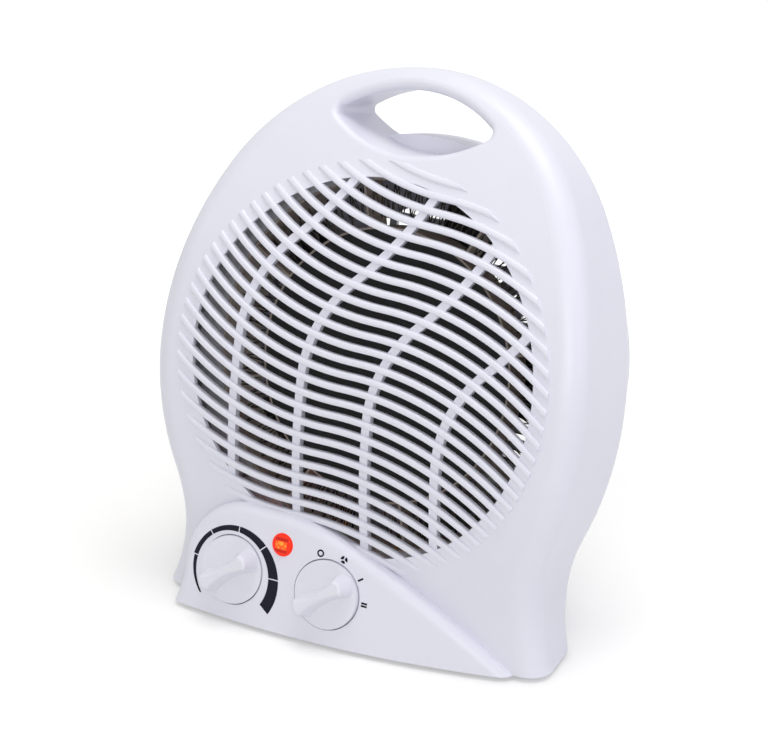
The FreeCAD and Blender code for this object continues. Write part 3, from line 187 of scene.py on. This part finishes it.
def mouldedPlastic(name, colour, gloss, grain):
    finish = Finish(name, IOR=plastic["ior"])
    cloud = finish.noise(plastic["cloud"], plastic["detail"])
    shade = tuple(part * plastic["shade"] for part in colour)
    finish.set(Base_Color=finish.blend(cloud, shade, colour))
    speck = finish.noise(plastic["grain"], plastic["detail"])
    finish.set(Roughness=gloss + (speck - 0.5) * plastic["swing"])
    finish.bump(speck, grain, plastic["depth"])
    return finish.material


zincSheet = {
    "metal": 0.4,
    "spangle": 260.0, "swing": 0.12,
    "ripple": 900.0, "bump": (0.08, 0.0001),
}


def sheetMetal(name, dark, bright, gloss):
    # zinc spangle: patches of slightly different grey and gloss
    finish = Finish(name, Metallic=zincSheet["metal"])
    finish.vary(finish.cells(zincSheet["spangle"]), dark, bright, gloss, zincSheet["swing"])
    finish.bump(finish.noise(zincSheet["ripple"]), *zincSheet["bump"])
    return finish.material


brushing = {
    "streaks": (900.0, 900.0, 40.0),  # long along the height
    "swing": 0.15,
}


def brushedMetal(name, dark, bright, gloss):
    finish = Finish(name, Metallic=1.0)
    streak = finish.node("ShaderNodeMapping", None, "Vector", Vector=finish.spot(), Scale=brushing["streaks"])
    finish.vary(finish.noise(1.0, spot=streak), dark, bright, gloss, brushing["swing"])
    return finish.material


pressedMica = {
    "cloud": 90.0,
    "browns": ((0.3, (0.340, 0.270, 0.225)), (0.7, (0.520, 0.430, 0.370))),
    "flake": 420.0, "glint": (0.60, 0.54, 0.48), "glintShare": 0.35,
    "gloss": 0.35, "swing": 0.3,
    "bump": (0.15, 0.0001),
}


def micaSheet(name):
    finish = Finish(name)
    flake = finish.cells(pressedMica["flake"])
    brown = finish.ramp(finish.noise(pressedMica["cloud"]), pressedMica["browns"])
    finish.set(Base_Color=finish.blend(flake * pressedMica["glintShare"], brown, pressedMica["glint"]))
    finish.set(Roughness=pressedMica["gloss"] + flake * pressedMica["swing"])
    finish.bump(flake, *pressedMica["bump"])
    return finish.material


oxideSkin = {
    "metal": 0.8,
    "cloud": 160.0,
    "greys": ((0.35, (0.045, 0.040, 0.040)), (0.65, (0.130, 0.110, 0.100))),
    "gloss": 0.35, "swing": 0.3,
}


def heatedWire(name):
    finish = Finish(name, Metallic=oxideSkin["metal"])
    cloud = finish.noise(oxideSkin["cloud"])
    finish.set(Base_Color=finish.ramp(cloud, oxideSkin["greys"]))
    finish.set(Roughness=oxideSkin["gloss"] + cloud * oxideSkin["swing"])
    return finish.material


blackCoat = {
    "cloud": 140.0, "shade": 0.7, "swing": 0.1,
    "pores": 1500.0, "bump": (0.12, 0.0001),
}


def mattPaint(name, colour, gloss):
    finish = Finish(name)
    shade = tuple(part * blackCoat["shade"] for part in colour)
    finish.vary(finish.noise(blackCoat["cloud"]), shade, colour, gloss, blackCoat["swing"])
    finish.bump(finish.noise(blackCoat["pores"]), *blackCoat["bump"])
    return finish.material


enamel = {
    "metal": 0.9, "coat": 0.5, "coatGloss": 0.15,
    "cloud": 200.0, "coppers": ((0.36, 0.11, 0.05), (0.60, 0.22, 0.10)),
    "gloss": 0.25, "swing": 0.15,
}


def copperWinding(name):
    finish = Finish(name, Metallic=enamel["metal"], Coat_Weight=enamel["coat"],
                    Coat_Roughness=enamel["coatGloss"])
    finish.vary(finish.noise(enamel["cloud"]), *enamel["coppers"], enamel["gloss"], enamel["swing"])
    return finish.material


padInk = {
    "specular": 0.12,
    "cloud": 700.0, "blacks": ((0.008, 0.009, 0.016), (0.014, 0.015, 0.026)),
    "gloss": 0.5, "swing": 0.1,
}


def printedInk(name):
    finish = Finish(name, Specular_IOR_Level=padInk["specular"])
    finish.vary(finish.noise(padInk["cloud"]), *padInk["blacks"], padInk["gloss"], padInk["swing"])
    return finish.material


jewelLight = {
    "gloss": 0.25, "specular": 0.15, "coat": 0.12,
    "unlit": (0.10, 0.004, 0.002), "lit": (0.90, 0.028, 0.006),
    "window": (3.0, 1.8),  # half the width and height of the bright middle
    "flame": 900.0, "flames": ((0.40, (1.0, 0.10, 0.012)), (0.62, (1.0, 0.40, 0.04))),
    "bars": (3.4, 0.7, 2.9),  # half their width and height, and how far above and below the middle
    "dim": (0.42, 0.010, 0.004), "dimShare": 0.8,
}


def litJewel(name, middle):
    # glowing lens: a bright window in the middle, darker bars above and below it
    finish = Finish(name, Roughness=jewelLight["gloss"], Specular_IOR_Level=jewelLight["specular"],
                    Coat_Weight=jewelLight["coat"], Emission_Strength=1.0)
    turned = finish.node("ShaderNodeMapping", {"vector_type": "TEXTURE"}, "Vector", Vector=finish.spot(),
                         Location=middle, Rotation=leanTurn)
    across, up = (finish.node("ShaderNodeSeparateXYZ", None, axis, Vector=turned).size() for axis in "XZ")
    wide, tall = (size * mm for size in jewelLight["window"])
    window = across.below(wide) * up.below(tall)
    wide, tall, away = (size * mm for size in jewelLight["bars"])
    bars = across.below(wide) * (up - away).size().below(tall)
    flame = finish.noise(jewelLight["flame"], detail=1.0, spot=turned)
    colour = finish.blend(window, jewelLight["lit"], finish.ramp(flame, jewelLight["flames"]))
    colour = finish.blend(bars * jewelLight["dimShare"], colour, jewelLight["dim"])
    finish.set(Base_Color=rgba(jewelLight["unlit"]), Emission_Color=colour)
    return finish.material


neonBulb = {
    "gloss": 0.05, "clear": 0.6, "glow": 0.6,
    "tint": (0.9, 0.5, 0.3),
    "cloud": 400.0, "ambers": ((0.4, (1.0, 0.2, 0.05)), (0.6, (1.0, 0.4, 0.1))),
}


def lampGlass(name):
    finish = Finish(name, Roughness=neonBulb["gloss"], Transmission_Weight=neonBulb["clear"],
                    Emission_Strength=neonBulb["glow"], Base_Color=rgba(neonBulb["tint"]))
    finish.set(Emission_Color=finish.ramp(finish.noise(neonBulb["cloud"]), neonBulb["ambers"]))
    return finish.material


footRubber = {
    "speck": 1800.0, "blacks": ((0.018, 0.018, 0.018), (0.035, 0.035, 0.035)),
    "gloss": 0.7, "swing": 0.15,
    "bump": (0.25, 0.0001),
}


def rubberPad(name):
    finish = Finish(name)
    speck = finish.noise(footRubber["speck"])
    finish.vary(speck, *footRubber["blacks"], footRubber["gloss"], footRubber["swing"])
    finish.bump(speck, *footRubber["bump"])
    return finish.material


print("finishes")
finishes = {  # colours, then the roughness, and on mouldings the strength of the grain
    "white_shell": mouldedPlastic("shell_white", (0.800, 0.800, 0.880), 0.36, 0.035),
    "white_knob": mouldedPlastic("knob_white", (0.800, 0.800, 0.870), 0.30, 0.02),
    "grey_spindle": mouldedPlastic("spindle_grey", (0.26, 0.26, 0.28), 0.5, 0.05),
    "dark_phenolic": mouldedPlastic("phenolic_dark", (0.016, 0.012, 0.010), 0.42, 0.05),
    "galvanised": sheetMetal("galvanised_sheet", (0.58, 0.58, 0.60), (0.74, 0.74, 0.76), 0.42),
    "mica": micaSheet("mica_sheet"),
    "nichrome": heatedWire("resistance_wire"),
    "black_steel": mattPaint("black_paint", (0.008, 0.008, 0.010), 0.55),
    "brass": brushedMetal("brass_strip", (0.50, 0.32, 0.09), (0.68, 0.46, 0.16), 0.25),
    "screw_steel": brushedMetal("zinc_screw", (0.42, 0.42, 0.43), (0.60, 0.60, 0.61), 0.28),
    "lamination": brushedMetal("stator_sheet", (0.10, 0.10, 0.11), (0.20, 0.20, 0.21), 0.40),
    "copper_coil": copperWinding("copper_winding"),
    "bobbin_nylon": mouldedPlastic("bobbin_nylon", (0.62, 0.56, 0.44), 0.45, 0.05),
    "rotor_metal": brushedMetal("rotor_cage", (0.38, 0.38, 0.40), (0.52, 0.52, 0.54), 0.35),
    "shaft_steel": brushedMetal("ground_shaft", (0.48, 0.48, 0.50), (0.62, 0.62, 0.64), 0.18),
    "bronze_bush": brushedMetal("bronze_bush", (0.28, 0.17, 0.07), (0.38, 0.24, 0.11), 0.40),
    "black_fan": mattPaint("black_moulding", (0.012, 0.012, 0.014), 0.42),
    "black_rubber": rubberPad("foot_rubber"),
    "white_gland": mouldedPlastic("gland_white", (0.66, 0.66, 0.72), 0.42, 0.05),
    "block_white": mouldedPlastic("block_white", (0.68, 0.66, 0.58), 0.45, 0.05),
    "lamp_glass": lampGlass("lamp_glass"),
}
inkBlack = printedInk("ink_black")

# the lens gets no finish here, because the jewel further down takes its place
for entry in frame["record"]["subparts"]:
    if entry["material_slot"] in finishes:
        for place in nodes[entry["node"]].material_slots:
            place.material = finishes[entry["material_slot"]]


def leave():
    bpy.ops.object.mode_set(mode="OBJECT")


def start():
    # object mode with nothing selected
    if bpy.context.mode != "OBJECT":
        leave()
    bpy.ops.object.select_all(action="DESELECT")


def hold(piece):
    # this piece alone, selected and active
    start()
    piece.select_set(True)
    bpy.context.view_layer.objects.active = piece


def settle():
    # puts the place, turn and size of what is selected into its mesh
    bpy.ops.object.transform_apply(location=True, rotation=True, scale=True)


def edit():
    # edit mode with everything selected
    bpy.ops.object.mode_set(mode="EDIT")
    bpy.ops.mesh.select_all(action="SELECT")


def pick(piece, kind, test):
    # selects vertices or faces of the piece in edit mode by their middle
    bpy.ops.mesh.select_all(action="DESELECT")
    bpy.ops.mesh.select_mode(type={"vertices": "VERT", "polygons": "FACE"}[kind])
    leave()
    points = [corner.co for corner in piece.data.vertices]
    for item in getattr(piece.data, kind):
        if kind == "vertices":
            middle = item.co
        else:
            middle = sum((points[corner] for corner in item.vertices), Vector()) / len(item.vertices)
        item.select = test(middle)
    bpy.ops.object.mode_set(mode="EDIT")


def push(distance):
    # extrudes the selected faces inwards, or outwards where the distance is negative
    bpy.ops.mesh.extrude_region_move(TRANSFORM_OT_translate={"value": (0, distance * mm, 0)})


def faceOutwards():
    bpy.ops.mesh.select_all(action="SELECT")
    bpy.ops.mesh.normals_make_consistent(inside=False)
    leave()


def useModifier(piece, kind, **settings):
    bpy.context.view_layer.objects.active = piece
    modifier = piece.modifiers.new(kind.lower(), kind)
    for label, item in settings.items():
        setattr(modifier, label, item)
    bpy.ops.object.modifier_apply(modifier=modifier.name)


def named(name):
    piece = bpy.context.object
    piece.name = name
    piece.data.name = name
    return piece


def joined(name, pieces):
    start()
    for piece in pieces:
        piece.select_set(True)
    bpy.context.view_layer.objects.active = pieces[0]
    bpy.ops.object.join()
    return named(name)


def wear(piece, finish, body):
    piece.data.materials.clear()
    piece.data.materials.append(finish)
    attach(piece, body)


def lay(piece, place, finish, body):
    # stands a piece drawn in the leaning frame in its place and hands it to its body
    hold(piece)
    piece.location = place
    piece.rotation_euler = leanTurn
    settle()
    wear(piece, finish, body)


# printed marks on the control hump
panel = {
    "dials": (-55.9, -3.4),  # thermostat and selector, across
    "level": -109.2,
    "dialRadius": 16.7,
    "ahead": 30.0,  # how far in front of the face the marks are drawn
    "lift": 0.05,
    "ink": 0.08,
}
scaleRing = {
    "inner": (-0.26, -2.11, 21.08),  # circle beside the dial: across, up and radius
    "bands": (
        ((-1.97, -1.12, 21.30), -133.0, -84.0),  # outer circle, and the ends clockwise from straight up
        ((1.10, -3.54, 25.35), -84.0, 127.0),
    ),
    "gaps": (-84.0, -43.0, 4.0, 48.0, 89.0),
    "gapWidth": 0.6,
    "steps": 120,
}
switchMarks = {
    "distance": 1.19,  # in dial radii
    "off": (-16.0, 1.85, 1.05),  # angle, outer and inner radius
    "fan": (20.5, 1.85, 0.518),
    "blades": 3, "bladeGap": 36,  # degrees
    "low": 56.5,
    "high": 92.0,
    "bar": (3.0, 0.9),
    "barGap": 1.35,
}


def clockwise(angle):
    turn = math.radians(angle)
    return Vector((math.sin(turn), 0, math.cos(turn)))


def angleOf(point):
    return math.degrees(math.atan2(point.x, point.z))


def circleAt(radius, middle, steps, fill="NOTHING"):
    start()
    bpy.ops.mesh.primitive_circle_add(vertices=steps, radius=radius, fill_type=fill, location=middle,
                                      rotation=(quarter, 0, 0))
    settle()
    return bpy.context.object


def band(name, outer, inner, steps):
    # flat ring between two circles, each a radius and a middle
    piece = joined(name, [circleAt(*outer, steps), circleAt(*inner, steps)])
    edit()
    bpy.ops.mesh.bridge_edge_loops()
    bpy.ops.mesh.subdivide(number_cuts=1)
    return piece


def printOn(piece, dial):
    # lays flat marks on the bowed front and gives them the thickness of ink
    hold(piece)
    piece.location = leaned(dial * mm, -panel["ahead"] * mm, panel["level"] * mm)
    piece.rotation_euler = leanTurn
    bpy.context.view_layer.update()
    useModifier(piece, "SHRINKWRAP", target=nodes["front_cover"], wrap_method="PROJECT", use_project_y=True,
                use_positive_direction=True, use_negative_direction=False, offset=panel["lift"] * mm)
    useModifier(piece, "SOLIDIFY", thickness=panel["ink"] * mm, offset=0)
    settle()
    edit()
    faceOutwards()
    wear(piece, inkBlack, "heater")


def scaleBand(outer, low, high):
    # one tapering band of the thermostat's scale, split by radial gaps
    circles = []
    for across, up, radius in (outer, scaleRing["inner"]):
        circles.append((radius * mm, Vector((across * mm, 0, up * mm))))
    piece = band("scaleBand", *circles, steps=scaleRing["steps"])
    half = scaleRing["gapWidth"] * mm / 2
    splits = [(gap, side) for gap in scaleRing["gaps"] for side in (-half, half)]
    for angle, shift in splits + [(low, 0), (high, 0)]:
        aside = clockwise(angle + 90)
        bpy.ops.mesh.select_all(action="SELECT")
        bpy.ops.mesh.bisect(plane_co=aside * shift, plane_no=aside)

    def unwanted(point):
        if not low < angleOf(point) < high:
            return True
        return any(abs(point.dot(clockwise(gap + 90))) < half and point.dot(clockwise(gap)) > 0
                   for gap in scaleRing["gaps"])

    pick(piece, "polygons", unwanted)
    bpy.ops.mesh.delete(type="FACE")
    leave()
    return piece


def makeScaleRing():
    piece = joined("thermostatScale", [scaleBand(*entry) for entry in scaleRing["bands"]])
    printOn(piece, panel["dials"][0])


def besideSelector(angle):
    return clockwise(angle) * switchMarks["distance"] * panel["dialRadius"] * mm


def ringMark(name, angle, big, small, steps):
    return band(name, (big * mm, besideSelector(angle)), (small * mm, besideSelector(angle)), steps)


def barAt(angle, shift):
    # short radial stroke beside the selector dial
    long, wide = (size * mm for size in switchMarks["bar"])
    start()
    bpy.ops.mesh.primitive_plane_add(size=1)
    piece = bpy.context.object
    edit()
    bpy.ops.mesh.subdivide(number_cuts=3)
    leave()
    piece.scale = (wide, long, 1)
    piece.rotation_euler = (quarter, math.radians(angle), 0)
    piece.location = besideSelector(angle) + clockwise(angle + 90) * shift * mm
    settle()
    return piece


def makeSwitchMarks():
    marks = [ringMark("offRing", *switchMarks["off"], steps=32)]
    start()
    fan = ringMark("fanMark", *switchMarks["fan"], steps=36)
    middle = besideSelector(switchMarks["fan"][0])
    turn = 360 / switchMarks["blades"]
    pick(fan, "polygons", lambda point: angleOf(point - middle) % turn < switchMarks["bladeGap"])
    bpy.ops.mesh.delete(type="FACE")
    start()
    marks.append(fan)
    marks.append(barAt(switchMarks["low"], 0))
    for side in (-0.5, 0.5):
        marks.append(barAt(switchMarks["high"], side * switchMarks["barGap"]))
    printOn(joined("selectorMarks", marks), panel["dials"][1])


makeScaleRing()
makeSwitchMarks()
print("printed marks")

# resistance wires, crimped to and fro between the mica core and the duct
wireSet = {
    "depths": {"heating_wire_front": 31.0, "heating_wire_back": 40.0},
    "loops": 84,
    "inner": 69.6,
    "outer": 85.6,
    "thickness": 0.62,
    "bend": 0.5,
    "wander": 0.5,
    "opening": 2.5,  # half loops left out on each side of straight down
}


def tubeAlong(thickness, resolution):
    # turns the active line of edges into a round wire
    bpy.ops.object.convert(target="CURVE")
    line = bpy.context.object.data
    line.bevel_depth = thickness * mm / 2
    line.bevel_resolution = resolution
    line.use_fill_caps = True
    bpy.ops.object.convert(target="MESH")
    bpy.ops.object.shade_smooth()
    return bpy.context.object


def makeHeatingWires():
    count = 2 * wireSet["loops"]
    step = 360 / count
    grow = wireSet["outer"] / wireSet["inner"]
    for seed, (node, depth) in enumerate(wireSet["depths"].items(), start=1):
        middle = (0, depth * mm, 0)
        piece = circleAt(wireSet["inner"] * mm, middle, count)
        named(node.title().replace("_", ""))
        edit()
        pick(piece, "vertices", lambda point: round(angleOf(point) / step) % 2 == 0)
        bpy.ops.transform.resize(value=(grow, 1, grow), center_override=middle)
        pick(piece, "vertices", lambda point: abs(abs(angleOf(point)) - 180) < wireSet["opening"] * step)
        bpy.ops.mesh.delete(type="VERT")
        bpy.ops.mesh.select_all(action="SELECT")
        bpy.ops.transform.vertex_random(offset=wireSet["wander"] * mm, seed=seed)
        bpy.ops.mesh.bevel(offset=wireSet["bend"] * mm, segments=3, affect="VERTICES")
        leave()
        piece = tubeAlong(wireSet["thickness"], resolution=1)
        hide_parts(node)
        lay(piece, leanPlace, finishes["nichrome"], "heater")


makeHeatingWires()
print("heating wires")

# copper winding on the motor's bobbin: turns side by side round the lower limb
winding = {
    "across": 25.6,
    "turns": 26,
    "front": 61.9, "back": 86.1,
    "low": -48.1, "high": -26.9,
    "corner": 3.2,
}


def makeWinding():
    wide = winding["across"] / winding["turns"]
    depth = (winding["back"] - winding["front"] - wide) * mm
    tall = (winding["high"] - winding["low"] - wide) * mm
    inwards, up = (winding["front"] + winding["back"]) / 2 * mm, (winding["low"] + winding["high"]) / 2 * mm
    start()
    bpy.ops.mesh.primitive_plane_add(size=1, rotation=(0, quarter, 0))
    bpy.context.object.scale = (tall, depth, 1)
    settle()
    edit()
    bpy.ops.mesh.delete(type="ONLY_FACE")
    bpy.ops.mesh.select_all(action="SELECT")
    bpy.ops.mesh.bevel(offset=winding["corner"] * mm, segments=5, affect="VERTICES")
    leave()
    loop = tubeAlong(wide, resolution=2)
    useModifier(loop, "ARRAY", count=winding["turns"], use_relative_offset=False, use_constant_offset=True,
                constant_offset_displace=(wide * mm, 0, 0))
    loop.location = ((wide - winding["across"]) / 2 * mm, inwards, up)
    settle()
    start()
    bpy.ops.mesh.primitive_cube_add(size=1, location=(0, inwards, up))
    filler = bpy.context.object
    filler.scale = (winding["across"] * mm, depth, tall)
    settle()
    useModifier(filler, "BEVEL", width=winding["corner"] * mm, segments=4)
    piece = joined("motorWinding", [loop, filler])
    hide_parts("motor_coil")
    lay(piece, leanPlace, finishes["copper_coil"], "heater")


makeWinding()
print("motor winding")

# indicator: domed jewel with a stepped rim, pressed into the panel from behind
jewel = {
    "across": -29.65,
    "level": -90.7,
    "radius": 5.55,
    "rim": 0.7,
    "front": 3.0,
    "bulge": 1.5,  # of both steps and the dome
    "steps": (0.25, 0.35),
    "rings": 6,
    "tip": 0.12,  # share of the dome that stays flat
    "back": 5.45,
    "flange": 7.2,
    "flangeBack": 6.4,
    "sides": 48,
}


def makeJewel():
    piece = circleAt(jewel["flange"] * mm, (0, jewel["flangeBack"] * mm, 0), jewel["sides"], fill="NGON")
    named("indicatorJewel")
    edit()
    push(jewel["back"] - jewel["flangeBack"])
    bpy.ops.mesh.inset(thickness=(jewel["flange"] - jewel["radius"]) * mm)
    push(jewel["front"] - jewel["back"] - jewel["steps"][0])
    bpy.ops.mesh.inset(thickness=jewel["rim"] / 2 * mm)
    push(-jewel["steps"][1])
    wide = jewel["radius"] - jewel["rim"] / 2
    high = jewel["bulge"] - sum(jewel["steps"])
    for ring in range(1, jewel["rings"] + 1):
        lower, upper = (quarter * number / jewel["rings"] for number in (ring - 1, ring))
        inner = math.cos(upper) if ring < jewel["rings"] else jewel["tip"]
        bpy.ops.mesh.inset(thickness=(math.cos(lower) - inner) * wide * mm)
        bpy.ops.transform.translate(value=(0, (math.sin(lower) - math.sin(upper)) * high * mm, 0))
    faceOutwards()
    bpy.ops.object.shade_smooth_by_angle(angle=crease)
    middle = leaned(jewel["across"] * mm, 0, jewel["level"] * mm)
    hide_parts("indicator_lens")
    lay(piece, middle, litJewel("lit_jewel", middle), "heater")


makeJewel()
print("indicator jewel")

# cross-slotted heads of the screws that hold the covers together
crossScrew = {
    "places": ((62.0, 106.0), (-62.0, 106.0), (84.0, -104.0), (-84.0, -104.0)),
    "seat": 52.0,
    "head": 3.4,
    "tall": 2.2,
    "rounding": 0.9,
    "shank": 1.75,
    "reach": 15.0,
    "slot": (3.9, 0.75, 1.3),  # length, width and depth of the cross
    "turns": (30, 120),  # degrees of its two cuts
}


def crossHead():
    seat, tall = crossScrew["seat"] * mm, crossScrew["tall"] * mm
    start()
    bpy.ops.mesh.primitive_cylinder_add(vertices=32, radius=crossScrew["head"] * mm, depth=tall,
                                        location=(0, seat + tall / 2, 0), rotation=(quarter, 0, 0))
    head = bpy.context.object
    settle()
    edit()
    top = seat + tall - hair
    pick(head, "polygons", lambda point: point.y > top)
    bpy.ops.mesh.bevel(offset=crossScrew["rounding"] * mm, segments=4)
    pick(head, "polygons", lambda point: point.y < seat + hair)
    bpy.ops.mesh.inset(thickness=(crossScrew["head"] - crossScrew["shank"]) * mm)
    push(-crossScrew["reach"])
    long, wide, deep = (size * mm for size in crossScrew["slot"])
    for turn in crossScrew["turns"]:
        start()
        bpy.ops.mesh.primitive_cube_add(size=1, location=(0, top, 0), rotation=(0, math.radians(turn), 0))
        slot = bpy.context.object
        slot.scale = (long, 2 * deep, wide)
        settle()
        useModifier(head, "BOOLEAN", operation="DIFFERENCE", object=slot)
        bpy.data.objects.remove(slot)
    return head


def makeCoverScrews():
    model = crossHead()
    heads = []
    for x, w in crossScrew["places"]:
        hold(model)
        bpy.ops.object.duplicate()
        bpy.context.object.location = (x * mm, 0, w * mm)
        settle()
        heads.append(bpy.context.object)
    bpy.data.objects.remove(model)
    piece = joined("coverScrews", heads)
    bpy.ops.object.shade_smooth_by_angle(angle=crease)
    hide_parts("shell_screws")
    lay(piece, leanPlace, finishes["screw_steel"], "heater")


makeCoverScrews()
print("cover screws")

# camera at the photograph's angle
shot = {
    "azimuth": 29.2, "elevation": 23.4,
    "distance": 1200.0,
    "aside": 12.67, "rise": 0.9,
    "lens": 121.16, "sensor": 36.0,
}
start()
turn, tip = math.radians(shot["azimuth"]), math.radians(shot["elevation"])
towards = Vector((math.sin(turn) * math.cos(tip), -math.cos(turn) * math.cos(tip), math.sin(tip)))
right = Vector((math.cos(turn), math.sin(turn), 0))
upward = towards.cross(right)
eye = Vector(leanPlace) + (towards * shot["distance"] + right * shot["aside"] + upward * shot["rise"]) * mm
bpy.ops.object.camera_add(location=eye)
camera = bpy.context.object
camera.matrix_world = Matrix.Translation(eye) @ Matrix((right, upward, towards)).transposed().to_4x4()
camera.data.lens = shot["lens"]
camera.data.sensor_width = shot["sensor"]
bpy.context.scene.camera = camera

# soft studio light over a white floor, in metres
studio = {
    "world": 0.52,
    "aim": (0, 0, 0.13),
    "lamps": (  # name, place, size, power and tint
        ("key", (-0.8, -1.4, 1.5), 1.4, 2.0, (1.0, 1.0, 1.0)),
        ("front", (0.72, -1.4, 0.85), 0.7, 5.8, (0.98, 0.98, 1.0)),
        ("side", (1.7, -0.2, 0.9), 1.6, 3.8, (0.66, 0.71, 1.0)),
        ("top", (0.2, 0.1, 1.9), 1.1, 14.5, (1.0, 1.0, 1.0)),
    ),
    "floorSize": 12,
    "floor": (0.80, 0.795, 0.78), "floorGloss": 0.9,
    "lift": ((0.03, 0.25), (0.20, 0.48)),  # squared distance, and what the floor adds there where it is seen: painted light that grows away from the heater, leaving painted shade on the floor round its base
}
for name, place, size, power, tint in studio["lamps"]:
    bpy.ops.object.light_add(type="AREA", location=place)
    lamp = named(name)
    lamp.data.size = size
    lamp.data.energy = power
    lamp.data.color = tint
    lamp.rotation_euler = (Vector(studio["aim"]) - Vector(place)).to_track_quat("-Z", "Y").to_euler()

start()
bpy.ops.mesh.primitive_plane_add(size=studio["floorSize"], location=(0, 0, 0))
floor = named("floor")
edit()
bpy.ops.mesh.subdivide(number_cuts=2)
leave()


def seen(tree):
    # 1 for rays that show the background: to the camera, in reflections and through glass
    path = tree.nodes.new("ShaderNodeLightPath")
    direct, mirrored, through = (Socket(tree, path.outputs[f"Is {kind} Ray"])
                                 for kind in ("Camera", "Glossy", "Transmission"))
    return direct.most(mirrored).most(through)


ground = Finish("floor_white", Base_Color=rgba(studio["floor"]), Roughness=studio["floorGloss"],
                Specular_IOR_Level=0.0)
across, along = (ground.node("ShaderNodeSeparateXYZ", None, axis, Vector=ground.spot()) for axis in "XY")
# painted light on the floor: its glow grows with distance from the heater, so the floor near the base stays
# darker as painted shade
lift = [(far, (level,) * 3) for far, level in studio["lift"]]
glow = ground.tree.nodes.new("ShaderNodeEmission")
plug(ground.tree, glow.inputs["Color"], ground.ramp(across * across + along * along, lift))
plug(ground.tree, glow.inputs["Strength"], seen(ground.tree))
both = ground.tree.nodes.new("ShaderNodeAddShader")
ground.tree.links.new(ground.shader.outputs[0], both.inputs[0])
ground.tree.links.new(glow.outputs[0], both.inputs[1])
ground.tree.links.new(both.outputs[0], ground.tree.nodes["Material Output"].inputs["Surface"])
floor.data.materials.append(ground.material)

world = bpy.data.worlds.new("studio")
bpy.context.scene.world = world
world.use_nodes = True
sky = world.node_tree.nodes["Background"]
sky.inputs["Color"].default_value = rgba((1, 1, 1))
shown = seen(world.node_tree)
plug(world.node_tree, sky.inputs["Strength"], studio["world"] + shown * (1 - studio["world"]))

bpy.context.scene.view_settings.view_transform = "Standard"
print("studio")
